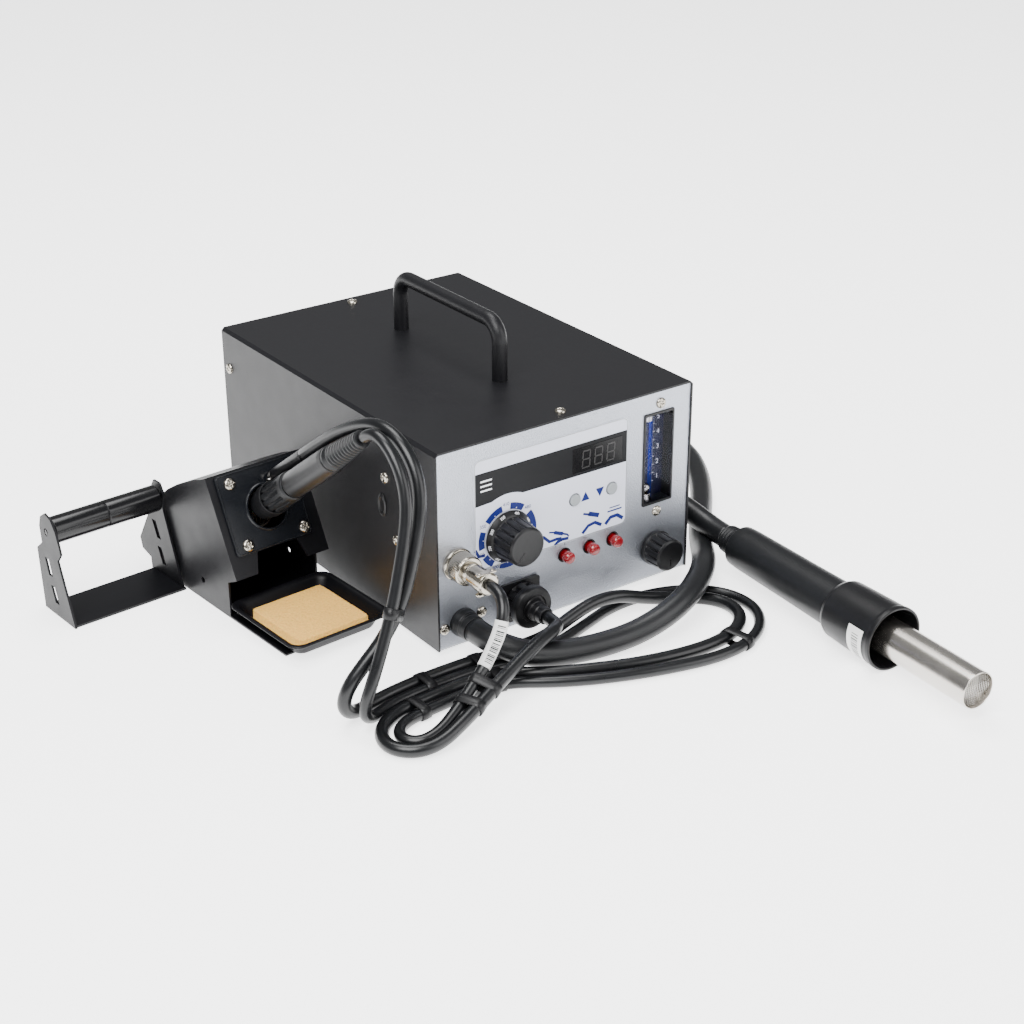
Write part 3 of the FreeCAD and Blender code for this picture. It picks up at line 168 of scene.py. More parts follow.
# %% [markdown]
# ## Flat plates and numerals
# Stamped sheet, printed shapes and cover panes are flat outlines with holes. A grid of two
# parameters cannot follow holes, so these are made as filled curves, given their thickness and
# turned into meshes before they are placed.

# %% Flat plates and numerals
def plate(name, outlines, depth, frame_, bevel=0.0, z=0.0):
    """A flat piece with holes: closed outlines in mm, thickened from z to z + depth."""
    curve = bpy.data.curves.new(name, "CURVE")
    curve.dimensions = "2D"
    curve.fill_mode = "BOTH"
    curve.extrude = max(depth / 2 - bevel, 0.0)
    curve.bevel_depth = bevel
    curve.bevel_resolution = 2
    for points in outlines:
        spline = curve.splines.new("POLY")
        spline.points.add(len(points) - 1)
        for k, (x, y) in enumerate(points):
            spline.points[k].co = (x, y, 0, 1)
        spline.use_cyclic_u = True
    return from_curve(name, curve, frame_ @ axes((0, 0, z + depth / 2), *np.eye(3)))


def from_curve(name, curve, frame_):
    """A mesh object from a curve or text drawn in mm."""
    temp = bpy.data.objects.new(name + "_temp", curve)
    bpy.context.scene.collection.objects.link(temp)
    dg = bpy.context.evaluated_depsgraph_get()
    mesh = bpy.data.meshes.new_from_object(temp.evaluated_get(dg))
    bpy.data.objects.remove(temp)
    mesh.name = name
    m = Matrix([list(row) for row in frame_])
    mesh.transform(Matrix.Scale(MM, 4) @ m)
    mesh.materials.clear()
    obj = bpy.data.objects.new(name, mesh)
    bpy.context.scene.collection.objects.link(obj)
    return obj


def words(name, text, size, at, frame_, turn=0.0, depth=0.05):
    """Numerals or signs as thin raised ink."""
    font = bpy.data.curves.new(name, "FONT")
    font.body = text
    font.size = size
    font.extrude = depth / 2
    font.align_x = "CENTER"
    font.align_y = "CENTER"
    return from_curve(name, font, frame_ @ axes(at, *np.eye(3)) @ yaw(turn))

# %% [markdown]
# ## Round tubes
# Cords and wires are a circle carried along a line. Blender's curve bevel can do it too; here
# the rings are worked out so that their turn is known and never jumps from one ring to the
# next.

# %% Round tubes
def tube(name, line, radius, sides=12, frame_=WORLD, closed=False, caps=True):
    """A round tube: point = centre + radius (cos a side + sin a up), where side is carried
    from ring to ring and kept square to the line; radius is one number or one per point."""
    p = np.asarray(line, float)
    n = len(p)
    t = np.roll(p, -1, 0) - np.roll(p, 1, 0) if closed else np.gradient(p, axis=0)
    t /= np.linalg.norm(t, axis=1)[:, None]
    side = np.cross(t[0], (0, 0, 1) if abs(t[0][2]) < 0.9 else (1, 0, 0))
    rad = np.broadcast_to(np.asarray(radius, float), (n,))
    rings = []
    for i in range(n):
        side = side - t[i] * (side @ t[i])
        side /= np.linalg.norm(side)
        up = np.cross(t[i], side)
        a = np.linspace(0, 2 * math.pi, sides, endpoint=False)[:, None]
        rings.append(p[i] + rad[i] * (np.cos(a) * side + np.sin(a) * up))
    pts = np.concatenate(rings)
    faces = grid_faces(n, sides, close_u=closed, close_v=True)
    if caps and not closed:
        faces += [tuple(range(sides)), tuple(reversed(range((n - 1) * sides, n * sides)))]
    return mesh_piece(name, pts, faces, frame_)


def join(name, objs):
    """Join mesh objects into one, keeping their materials."""
    for o in bpy.context.selected_objects:
        o.select_set(False)
    for o in objs:
        o.select_set(True)
    bpy.context.view_layer.objects.active = objs[0]
    bpy.ops.object.join()
    objs[0].name = name
    objs[0].data.name = name
    return objs[0]

# %% [markdown]
# ## Outlines
# Small helpers give the closed outlines that the plates are filled from: circles, rounded
# rectangles, ring sectors and lines of constant width.

# %% Outlines
def circle(r, x=0.0, y=0.0, n=48):
    """Points round a circle: (x + r cos a, y + r sin a) at n even angles."""
    return [(x + r * math.cos(2 * math.pi * k / n), y + r * math.sin(2 * math.pi * k / n))
            for k in range(n)]


def round_rect(x0, y0, x1, y1, r, n=6):
    """A rounded rectangle: a quarter circle, centre + r (cos a, sin a), at each corner."""
    out = []
    for cx, cy, s in ((x1 - r, y0 + r, -90), (x1 - r, y1 - r, 0), (x0 + r, y1 - r, 90),
                      (x0 + r, y0 + r, 180)):
        for k in range(n + 1):
            a = math.radians(s + 90 * k / n)
            out.append((cx + r * math.cos(a), cy + r * math.sin(a)))
    return out


def arc_band(x, y, r0, r1, a0, a1, n=24):
    """Outline of a ring sector between two radii and two angles in degrees."""
    a = np.radians(np.linspace(a0, a1, n))
    outer = [(x + r1 * math.cos(t), y + r1 * math.sin(t)) for t in a]
    inner = [(x + r0 * math.cos(t), y + r0 * math.sin(t)) for t in a[::-1]]
    return outer + inner


def stroke(points, w):
    """Outline of a bent line: each point moved by w / 2 to either side along its normal."""
    p = np.array(points, float)
    t = np.gradient(p, axis=0)
    t /= np.linalg.norm(t, axis=1)[:, None]
    n = np.stack([-t[:, 1], t[:, 0]], 1) * w / 2
    return [tuple(q) for q in np.concatenate([p + n, (p - n)[::-1]])]

# %% [markdown]
# ## Handing a piece over
# A finished piece needs a material, the body that it moves with and the solid nodes that it
# stands for. One function gives the first two, hides those nodes and prints what it was given,
# so each cell below reports its pieces.

# %% Handing a piece over
def use(obj, material, body, *nodes, slot=None):
    """Give a piece its material and its body, and hide the CAD nodes it stands for."""
    obj.data.materials.clear()
    obj.data.materials.append(material)
    if body:
        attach(obj, body)
    if nodes:
        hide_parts(*nodes)
    print(obj.name, len(obj.data.polygons), "faces,", material.name, "on", body)
    return obj


# %% [markdown]
# ## Materials
# One helper makes a Principled material with a mottled colour, a varying roughness and a
# bump, all from noise in object coordinates; `grain` is the size of the texture in mm.

# %% Material helper
def rgb(code):
    """An sRGB hex colour as linear RGBA: c <= 0.04045 ? c / 12.92 : ((c + 0.055) / 1.055)^2.4."""
    v = [int(code[i:i + 2], 16) / 255 for i in (1, 3, 5)]
    return [c / 12.92 if c <= 0.04045 else ((c + 0.055) / 1.055) ** 2.4 for c in v] + [1.0]


def add(tree, kind, **inputs):
    """Add one node; inputs are set by socket name, or linked when given a socket."""
    n = tree.nodes.new(kind)
    for key, value in inputs.items():
        socket = n.inputs[key.replace("_", " ")]
        if isinstance(value, bpy.types.NodeSocket):
            tree.links.new(value, socket)
        else:
            socket.default_value = value
    return n


def material(name, color, rough=0.5, metal=0.0, grain=0.6, bump=0.15, mottle=0.12,
             rough_var=0.08, kind="noise", coat=0.0, spread=12.0, wear=0.0, **extra):
    """A procedural material; grain and spread are the fine and coarse texture sizes in mm."""
    mat = bpy.data.materials.new(name)
    mat.use_nodes = True
    tree = mat.node_tree
    bsdf = tree.nodes["Principled BSDF"]
    coord = tree.nodes.new("ShaderNodeTexCoord").outputs["Object"]
    coarse = add(tree, "ShaderNodeTexNoise", Vector=coord, Scale=1000.0 / spread, Detail=4.0)
    base = np.array(rgb(color))
    mix = tree.nodes.new("ShaderNodeMix")
    mix.data_type = "RGBA"
    dark, light = base * (1 - mottle), np.minimum(base * (1 + mottle), 1)
    mix.inputs[6].default_value = list(dark[:3]) + [1]
    mix.inputs[7].default_value = list(light[:3]) + [1]
    tree.links.new(coarse.outputs["Fac"], mix.inputs[0])
    tree.links.new(mix.outputs[2], bsdf.inputs["Base Color"])
    rng = add(tree, "ShaderNodeMapRange", Value=coarse.outputs["Fac"])
    rng.inputs["To Min"].default_value = max(rough - rough_var, 0.03)
    rng.inputs["To Max"].default_value = min(rough + rough_var, 1.0)
    tree.links.new(rng.outputs[0], bsdf.inputs["Roughness"])
    bsdf.inputs["Metallic"].default_value = metal
    bsdf.inputs["Coat Weight"].default_value = coat
    bsdf.inputs["Coat Roughness"].default_value = 0.15
    if kind == "cells":
        fine = add(tree, "ShaderNodeTexVoronoi", Vector=coord, Scale=1000.0 / grain)
        fine.feature = "SMOOTH_F1"
        height = fine.outputs["Distance"]
    else:
        fine = add(tree, "ShaderNodeTexNoise", Vector=coord, Scale=1000.0 / grain, Detail=3.0)
        height = fine.outputs["Fac"]
    b = add(tree, "ShaderNodeBump", Height=height, Strength=bump, Distance=0.001 * grain * 0.4)
    tree.links.new(b.outputs[0], bsdf.inputs["Normal"])
    for key, value in extra.items():
        bsdf.inputs[key.replace("_", " ")].default_value = value
    return mat


# %% [markdown]
# ## Which finish is which
# Each entry starts from the real material and how its surface was made: a powder coat is
# slightly pebbled, hammertone paint has shallow cells with bright rims, plated parts are metal
# with a soft sheen, and moulded plastic and rubber are near-black with a broad weak highlight.
# Colours are hex values, then roughness, metalness, fine grain in mm, bump, mottle and
# roughness spread.

# %% All materials
# Grains under 0.5 mm are drawn at 0.5 mm or so, because finer ones do not show.
M = {
    # baked powder coat: dark, with a faint pebble and a soft highlight
    "powder": material("black_powder_coat", "#0f0f12", 0.42, 0, 0.5, 0.25, 0.10, 0.05,
                       Specular_IOR_Level=0.3),
    # hammertone paint: metal flake in shallow cells, so it glitters
    "hammer": material("silver_hammertone", "#a9adb6", 0.34, 0.85, 0.8, 0.8, 0.16, 0.07,
                       "cells", spread=0.9),
    # satin paint on bent sheet: broad dull highlights
    "holder": material("holder_satin_black", "#0e0e11", 0.4, 0, 0.5, 0.15, 0.14, 0.08,
                       Specular_IOR_Level=0.22),
    # moulded face plate: smoother, so its highlight is tighter
    "bezel": material("holder_face_plastic", "#101216", 0.24, 0, 0.8, 0.06, 0.1, 0.06,
                      Specular_IOR_Level=0.3),
    # zinc plate: grey metal with a patchy sheen
    "zinc": material("zinc_plated_steel", "#9da0a3", 0.35, 0.95, 1.5, 0.08, 0.12, 0.1),
    # nickel plate: warm, clear reflections
    "nickel": material("nickel_plate", "#aaa498", 0.2, 1.0, 2.0, 0.05, 0.05, 0.06),
    # stainless tube: clear reflections, lightly streaked
    "steel": material("stainless_steel", "#b9b6b1", 0.27, 1.0, 0.8, 0.08, 0.08, 0.08),
    # moulded knobs: even black with readable edges
    "knob": material("black_knob_plastic", "#0f0f11", 0.34, 0, 0.5, 0.1, 0.08, 0.05,
                     Specular_IOR_Level=0.3),
    # general moulded plastic: duller than the knobs
    "plastic": material("black_moulded_plastic", "#0d0d0f", 0.38, 0, 0.6, 0.15, 0.1, 0.06,
                        Specular_IOR_Level=0.3),
    # moulded rubber: dull, a little patchy
    "rubber": material("black_rubber", "#0f1012", 0.42, 0, 0.5, 0.15, 0.12, 0.07,
                       Specular_IOR_Level=0.3),
    # extruded hose rubber: a long soft streak of light
    "hose": material("hose_rubber", "#101113", 0.38, 0, 0.7, 0.12, 0.12, 0.07,
                     Specular_IOR_Level=0.4),
    # cable sheath: smoother, with a narrow streak
    "cord": material("cable_rubber", "#0c0d0f", 0.3, 0, 0.6, 0.08, 0.12, 0.07,
                     Specular_IOR_Level=0.4),
    # glossy tinted plastic: a little light passes into it
    "red": material("red_button_plastic", "#7a0a14", 0.16, 0, 3.0, 0.02, 0.08, 0.03, coat=0.5,
                    Subsurface_Weight=0.15, Subsurface_Scale=0.004),
    # matt grey buttons
    "grey": material("grey_button_plastic", "#8b9093", 0.5, 0, 0.5, 0.1, 0.05, 0.05),
    # printed polyester film: pale, satin
    "film": material("label_film", "#ced1de", 0.34, 0, 0.35, 0.05, 0.02, 0.04,
                     Specular_IOR_Level=0.3),
    # screen-printed ink: flat and even
    "ink_navy": material("navy_ink", "#141f60", 0.4, 0, 0.4, 0.05, 0.06, 0.04,
                         Specular_IOR_Level=0.15),
    "ink_black": material("black_ink", "#0c0d10", 0.35, 0, 0.4, 0.05, 0.06, 0.04,
                          Specular_IOR_Level=0.15),
    "ink_white": material("white_ink", "#eeeef2", 0.45, 0, 0.4, 0.05, 0.03, 0.04),
    # dark window: smooth and almost without highlight
    "led": material("dark_display", "#08080a", 0.2, 0, 3.0, 0.01, 0.05, 0.03,
                    Specular_IOR_Level=0.2),
    "led_seg": material("unlit_segments", "#0e0c0d", 0.3, 0, 1.0, 0.01, 0.05, 0.03),
    # the meter's painted back
    "meter_back": material("meter_back_blue", "#0a0d26", 0.32, 0, 1.0, 0.03, 0.1, 0.05),
    "meter_tube": material("meter_bore_blue", "#4a5cb4", 0.12, 0.6, 3.0, 0.01, 0.08, 0.03,
                           coat=0.5),
    # clear cover; its index is lowered so that what is behind shows
    "acrylic": material("clear_acrylic", "#eef1ff", 0.04, 0, 5.0, 0.0, 0.01, 0.01,
                        Transmission_Weight=1.0, IOR=1.12),
    # cellulose: coarse open pores and no shine
    "sponge": material("cellulose_sponge", "#efb558", 0.95, 0, 1.5, 1.0, 0.24, 0.03, "cells",
                       spread=1.6, Subsurface_Weight=0.1, Subsurface_Scale=0.003),
    # glossy turned plastic: a crisp highlight
    "roller": material("glossy_black_plastic", "#0c0c0e", 0.2, 0, 3.0, 0.02, 0.08, 0.04,
                       Specular_IOR_Level=0.35),
    # white heat-shrink sleeve
    "marker": material("white_sleeve", "#dcdcda", 0.4, 0, 0.8, 0.06, 0.03, 0.05),
    # chalky heater ceramic
    "ceramic": material("heater_ceramic", "#e0dacb", 0.8, 0, 0.8, 0.2, 0.05, 0.05),
    # varnished circuit board
    "board": material("green_circuit_board", "#1c5a36", 0.4, 0, 1.5, 0.1, 0.15, 0.06),
    # varnished iron, brownish
    "core": material("varnished_iron", "#4a4440", 0.5, 0.6, 1.2, 0.2, 0.15, 0.08),
}
print("materials", len(M))

# %% [markdown]
# ## A darker foot on the front panel
# The paint itself is even. The panel is darkened towards its foot here, by scaling the colour
# with the height above the floor, because the light in this scene reaches the foot too freely.
# It is a stand-in for shade, and it stays with the panel in every view.

# %% Panel shade
FOOT_Z, FULL_Z, FOOT_SHADE = 0.008, 0.075, 0.62     # metres, metres, share of the colour
tree = M["hammer"].node_tree
height = add(tree, "ShaderNodeSeparateXYZ",
             Vector=tree.nodes["Texture Coordinate"].outputs["Object"])
fade = add(tree, "ShaderNodeMapRange", Value=height.outputs["Z"])
for key, value in (("From Min", FOOT_Z), ("From Max", FULL_Z), ("To Min", FOOT_SHADE),
                   ("To Max", 1.0)):
    fade.inputs[key].default_value = value
shade = tree.nodes.new("ShaderNodeVectorMath")
shade.operation = "SCALE"
old = tree.nodes["Principled BSDF"].inputs["Base Color"].links[0].from_socket
tree.links.new(old, shade.inputs[0])
tree.links.new(fade.outputs[0], shade.inputs["Scale"])
tree.links.new(shade.outputs[0], tree.nodes["Principled BSDF"].inputs["Base Color"])
print("panel shade from", FOOT_SHADE, "at", FOOT_Z, "m to 1 at", FULL_Z, "m")

# %% [markdown]
# ## Finishes of the solid nodes
# Every solid node gets a finish, also the ones that a finer piece replaces below, so that none
# is left plain if its piece is taken out.

# %% Finishes of the nodes
USES = {
    "powder": ["top_cover", "carry_handle"], "hammer": ["front_panel"],
    "holder": ["stand_body", "holder_frame", "spool_bracket", "sponge_tray"],
    "zinc": ["chassis", "pot_shaft", "pot_body", "valve_stem"],
    "nickel": ["case_screws", "bezel_screws", "iron_plug", "iron_socket", "plug_ring",
               "valve_body", "flow_plugs", "flow_ball"],
    "bezel": ["holder_bezel"], "steel": ["smoke_pipe", "iron_tip", "nozzle_tube", "wire_guard"],
    "knob": ["temp_knob", "air_knob"],
    "plastic": ["smoke_port", "smoke_cap", "gun_collar", "mains_inlet", "iron_handle",
                "air_pump", "switch_bodies"],
    "rubber": ["rubber_feet", "hose_gland", "side_plug", "gun_sleeve", "gun_handle",
               "iron_grip", "iron_boot"],
    "hose": ["hot_air_hose"], "cord": ["iron_cable", "smoke_tube", "cable_clips"],
    "red": ["iron_button", "air_button", "smoke_button"], "grey": ["up_button", "down_button"],
    "film": ["front_label"], "led": ["led_display"], "acrylic": ["flow_meter"],
    "sponge": ["sponge"], "roller": ["spool_roller"], "marker": ["cable_marker"],
    "ceramic": ["heater_core"], "board": ["main_board"], "core": ["transformer"],
}
for key, names in USES.items():
    for name in names:
        obj = NODES[name]
        obj.data.materials.clear()
        obj.data.materials.append(M[key])
missing = sorted(set(NODES) - {n for names in USES.values() for n in names})
print("nodes without a finish", missing)

# %% [markdown]
# ## Camera
# The camera looks down on the case from the left of its front.  Its three directions are
# written out as unit vectors, which is exact where angles would be rounded.

# %% Camera
camera = bpy.data.cameras.new("camera")
camera.sensor_width = 36
camera.lens = 67.39
camera.clip_start, camera.clip_end = 0.05, 20
cam = bpy.data.objects.new("camera", camera)
bpy.context.scene.collection.objects.link(cam)
right = Vector((0.81214615, -0.58344676, -0.0029175))
down = Vector((-0.25751796, -0.35396387, -0.89910738))
ahead = Vector((0.5235486, 0.73095791, -0.43771841))
turn = Matrix((right, -down, -ahead)).transposed().to_4x4()
cam.matrix_world = Matrix.Translation((-0.56201, -0.82214, 0.56638)) @ turn
bpy.context.scene.camera = cam
print("camera", [round(c, 3) for c in cam.matrix_world.translation], "lens", camera.lens)

# %% [markdown]
# ## Cord routes
# The hot-air hose, the iron's cable and the smoke tube are flexible rubber rounds. Their routes
# are the corner points of the solid cords, in mm, from the case to the tool, so the drawn cords
# lie where the solid ones do.

# %% Cord routes
HOSE = [
    (-15.6, -22.05, 18.8), (-15.6, -36.0, 18.8), (-8.0, -48.0, 15.5), (6.0, -54.0, 10.0),
    (24.0, -59.0, 7.8), (46.0, -64.0, 7.8), (69.0, -67.0, 9.5), (91.0, -68.0, 15.0),
    (111.0, -63.0, 19.5), (129.0, -52.0, 20.5), (145.0, -38.0, 19.0), (160.0, -21.0, 13.5),
    (174.0, -3.0, 8.4), (188.0, 15.0, 7.8), (206.0, 35.0, 7.8), (226.0, 57.0, 7.8),
    (245.0, 82.0, 7.8), (260.0, 109.0, 7.8), (267.0, 138.0, 7.8), (260.0, 167.0, 7.8),
    (240.0, 188.0, 7.8), (213.0, 193.0, 7.8), (188.0, 181.0, 7.8), (172.0, 158.0, 8.0),
    (167.0, 130.0, 10.0), (168.0, 101.0, 14.0), (171.0, 74.0, 20.0), (173.5, 50.0, 26.5),
    (176.0, 31.0, 28.5), (177.8, 16.0, 26.5), (180.6, 3.0, 21.9), (180.92, -9.0, 20.0),
    (180.21, -20.95, 20.0),
]
CABLE = [
    (-19.0, -42.25, 58.0), (-19.0, -52.0, 58.0), (-22.0, -60.5, 51.5), (-27.0, -63.5, 41.0),
    (-33.5, -64.0, 30.0), (-42.5, -66.5, 20.5), (-56.0, -72.5, 14.5), (-69.0, -79.0, 10.0),
    (-82.0, -84.0, 6.0), (-94.0, -84.0, 3.8), (-100.5, -76.5, 3.8), (-97.7, -67.0, 3.8),
    (-88.0, -61.0, 3.8), (-73.0, -59.0, 3.8), (-55.0, -57.5, 3.8), (-35.0, -57.0, 3.8),
    (-17.0, -62.0, 3.8), (1.0, -75.0, 3.8), (21.0, -86.0, 3.8), (45.0, -96.0, 3.8),
    (71.0, -104.0, 3.8), (95.0, -109.0, 3.8), (118.0, -108.0, 3.8), (139.0, -98.0, 3.8),
    (152.0, -81.0, 3.8), (154.0, -62.0, 3.8), (146.0, -45.0, 3.8), (129.0, -32.0, 3.8),
    (106.0, -25.0, 3.8), (81.0, -25.5, 3.8), (55.0, -34.0, 3.8), (29.0, -42.0, 3.8),
    (3.0, -43.0, 3.8), (-21.0, -40.0, 3.8), (-43.0, -39.3, 3.8), (-61.0, -39.5, 3.8),
    (-77.0, -40.5, 3.8), (-91.0, -43.5, 3.8), (-102.5, -49.0, 5.0), (-110.5, -54.5, 11.0),
    (-112.0, -57.5, 21.0), (-107.0, -57.5, 33.0), (-100.5, -55.2, 45.0), (-93.5, -52.2, 58.0),
    (-86.5, -48.7, 72.0), (-80.0, -45.0, 88.0), (-74.5, -41.5, 102.0), (-70.5, -38.2, 114.0),
    (-68.0, -34.0, 125.0), (-67.0, -28.5, 134.5), (-67.0, -21.0, 143.0), (-67.6, -12.5, 148.8),
    (-68.6, -2.58, 150.4), (-69.2, 5.84, 144.14),
]
TUBE = [
    (25.0, -37.05, 21.0), (25.0, -46.0, 21.0), (18.5, -55.5, 24.5), (3.0, -61.0, 24.0),
    (-15.0, -67.0, 20.5), (-34.0, -74.0, 16.5), (-52.0, -81.5, 13.0), (-70.0, -88.5, 9.5),
    (-87.0, -93.0, 5.5), (-101.0, -91.0, 4.3), (-110.0, -81.5, 4.3), (-110.0, -69.5, 4.3),
    (-102.5, -58.5, 4.3), (-88.0, -51.0, 4.3), (-70.0, -49.2, 4.3), (-51.0, -48.3, 4.3),
    (-32.0, -48.0, 4.3), (-14.0, -53.5, 4.3), (3.0, -66.0, 4.3), (25.0, -77.0, 4.3),
    (49.0, -87.0, 4.3), (75.0, -94.0, 4.3), (101.0, -97.0, 4.3), (123.0, -93.0, 4.3),
    (139.0, -81.0, 4.3), (143.0, -64.0, 4.3), (135.0, -49.0, 4.3), (119.0, -39.0, 4.3),
    (101.0, -34.0, 8.0), (83.0, -32.0, 14.8), (65.0, -30.2, 15.2), (47.0, -30.0, 10.0),
    (29.0, -31.8, 4.3), (7.0, -32.5, 4.3), (-19.0, -30.7, 4.3), (-43.0, -30.0, 4.3),
    (-66.0, -30.7, 4.3), (-86.0, -33.0, 4.3), (-102.0, -37.0, 4.3), (-113.5, -41.5, 8.0),
    (-118.5, -44.5, 17.0), (-115.0, -46.0, 28.0), (-105.0, -46.2, 38.0), (-94.5, -45.8, 47.0),
    (-85.0, -44.5, 57.0), (-77.0, -42.8, 69.0), (-70.8, -40.7, 82.0), (-65.5, -38.3, 95.5),
    (-61.0, -36.0, 108.5), (-57.5, -32.3, 121.0), (-56.0, -26.5, 132.0), (-56.0, -17.5, 141.5),
    (-57.0, -6.0, 147.5), (-58.5, 7.0, 149.0), (-60.0, 21.0, 144.5), (-61.5, 35.0, 137.5),
    (-63.0, 49.0, 129.0), (-64.5, 62.0, 119.5), (-65.7, 71.5, 112.32), (-66.2, 78.44, 107.14),
]
print("route points", len(HOSE), len(CABLE), len(TUBE))

# %% [markdown]
# ## Cords
# A cord bends smoothly, so the points steer a spline instead of being joined by straight runs.
# The spline is turned into a line and a round tube is carried along it. The printed lengths can
# be held against the solid cords.

# %% Cords
def cord_tube(name, route, diameter):
    """A round mesh tube along one open NURBS spline whose control points are the route's."""
    curve = bpy.data.curves.new(name, "CURVE")
    curve.dimensions = "3D"
    spline = curve.splines.new("NURBS")
    spline.points.add(len(route) - 1)
    for k, p in enumerate(route):
        spline.points[k].co = (p[0] * MM, p[1] * MM, p[2] * MM, 1)
    spline.order_u = 3
    spline.use_endpoint_u = True
    spline.resolution_u = 8
    obj = bpy.data.objects.new(name, curve)
    bpy.context.scene.collection.objects.link(obj)
    bpy.context.view_layer.update()
    dg = bpy.context.evaluated_depsgraph_get()
    mesh = bpy.data.meshes.new_from_object(obj.evaluated_get(dg))
    line = np.array([v.co for v in mesh.vertices]) / MM
    bpy.data.meshes.remove(mesh)
    bpy.data.objects.remove(obj)
    return tube(name, line, diameter / 2, 24), line


hose, hose_line = cord_tube("hose", HOSE, 15)
cable, cable_line = cord_tube("cable", CABLE, 7)
smoke, smoke_line = cord_tube("smoke_hose", TUBE, 8)
for line, name in ((hose_line, "hose"), (cable_line, "cable"), (smoke_line, "smoke tube")):
    print(name, "length", round(float(np.linalg.norm(np.diff(line, axis=0), axis=1).sum()), 1))


def near(line, spot):
    """Index of the point of a line nearest to a spot."""
    return int(np.argmin(np.linalg.norm(line - np.array(spot, float), axis=1)))


def spaced(line, step):
    """The same line with points every step mm."""
    s = np.concatenate([[0], np.cumsum(np.linalg.norm(np.diff(line, axis=0), axis=1))])
    t = np.linspace(0, s[-1], max(int(s[-1] / step), 2))
    return np.stack([np.interp(t, s, line[:, k]) for k in range(3)], 1)


# %% [markdown]
# ## Ties round the two strands
# Soft bands hold the cable and the smoke tube together. Each is a closed ring that follows one
# strand on one side and the other strand on the other, carried a few millimetres along them.

# %% Cord ties
TUBE_HOLD, CABLE_HOLD = 4.2, 3.9                    # radii of the band round each strand
ties = []
cable_fine, smoke_fine = spaced(cable_line, 1.0), spaced(smoke_line, 1.0)
for n, spot in enumerate(((-44.6, -73.0, 16.8), (-58.6, -79.0, 12.5), (-23.1, -55.5, 4.3),
                          (118.3, -100.8, 4.3), (-59.1, -35.0, 4.3), (-76.6, -54.7, 4.3),
                          (-85.8, -47.0, 63.8), (-22.7, -35.3, 4.3))):
    a = cable_fine[near(cable_fine, spot)]
    b = smoke_fine[near(smoke_fine, spot)]
    k = near(cable_fine, spot)
    t = cable_fine[min(k + 4, len(cable_fine) - 1)] - cable_fine[max(k - 4, 0)]
    t /= np.linalg.norm(t)
    b = b - t * ((b - a) @ t)
    side = (b - a) / np.linalg.norm(b - a)
    up = np.cross(t, side)
    ring = []
    for ang in np.linspace(0, 2 * math.pi, 40, endpoint=False):
        centre, r = (b, TUBE_HOLD) if math.cos(ang) > 0 else (a, CABLE_HOLD)
        ring.append((centre, side * math.cos(ang) + up * math.sin(ang), r))
    pts = []
    for w, extra in ((-3.2, 0.0), (-3.0, 0.35), (0.0, 0.5), (3.0, 0.35), (3.2, 0.0)):
        pts += [c + d * (r + extra) + t * w for c, d, r in ring]
    pts = np.array(pts)
    pts[:, 2] = np.maximum(pts[:, 2], 0.05)
    ties.append(mesh_piece("tie_%d" % n, pts, grid_faces(5, 40, close_v=True)))
ties = use(join("cord_ties", ties), M["plastic"], "root", "cable_clips")

# %% [markdown]
# ## Marker sleeve
# A white sleeve is shrunk on the cable near its plug. It is a slightly wider tube along the
# same line, with plain bars standing for its print.

# %% Marker sleeve
i0, i1 = near(cable_fine, (-24.5, -62.0, 46.2)), near(cable_fine, (-39.8, -65.7, 23.3))
sleeve_line = cable_fine[i0:i1 + 1]
sleeve = use(tube("marker_sleeve", sleeve_line, 4.0, 20), M["marker"], "root", "cable_marker")
view_side = np.array([-0.62, -0.78, 0.1])
bars = []
for k in range(3, len(sleeve_line) - 3):
    p, t = sleeve_line[k], sleeve_line[k + 1] - sleeve_line[k - 1]
    t /= np.linalg.norm(t)
    n = view_side - t * (view_side @ t)
    n /= np.linalg.norm(n)
    s = np.cross(t, n)
    if k % 7 == 5:
        continue
    w = (0.22, 0.38, 0.16, 0.3, 0.12)[k % 5]
    arc = [p + 4.06 * (math.cos(a) * n + math.sin(a) * s) for a in
           np.linspace(-0.75, 0.45, 7)]
    pts = [q - t * w for q in arc] + [q + t * w for q in arc]
    bars.append(mesh_piece("bar", pts, grid_faces(2, 7)))
bars = use(join("marker_bars", bars), M["ink_black"], "root")

# %% [markdown]
# ## Cord finishes
# Each cord starts on the case and ends on a tool that moves. Here each gets its finish, its
# solid cord is hidden and its placement is baked into its points. Their length and diameter
# are the real ones.

# %% Cord finishes
for obj, node, key in ((hose, "hot_air_hose", "hose"), (cable, "iron_cable", "cord"),
                       (smoke, "smoke_tube", "cord")):
    use(obj, M[key], None, node, slot="black_rubber")
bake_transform(hose)
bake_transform(cable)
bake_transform(smoke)

# %% [markdown]
# ## Floor and light
# A plain pale floor and three soft square lights, as on a product table. The floor also gives
# off light, which keeps it pale and lifts the underside of the piece.

# %% Floor and light
HALF = 6000
floor = mesh_piece("floor", [(-HALF, -HALF, 0), (HALF, -HALF, 0), (HALF, HALF, 0),
                             (-HALF, HALF, 0)], [(0, 1, 2, 3)], smooth=False)
floor.data.materials.append(material(
    "pale_floor", "#fafafa", 0.6, 0, 2.0, 0.0, 0.003, 0.02, Specular_IOR_Level=0.1,
    Emission_Color=(1, 1, 1, 1), Emission_Strength=2.3))
floor.location.z = -0.0002
world = bpy.data.worlds.new("studio")
world.use_nodes = True
world.node_tree.nodes["Background"].inputs["Color"].default_value = (0.97, 0.98, 1.0, 1)
world.node_tree.nodes["Background"].inputs["Strength"].default_value = 0.38
bpy.context.scene.world = world


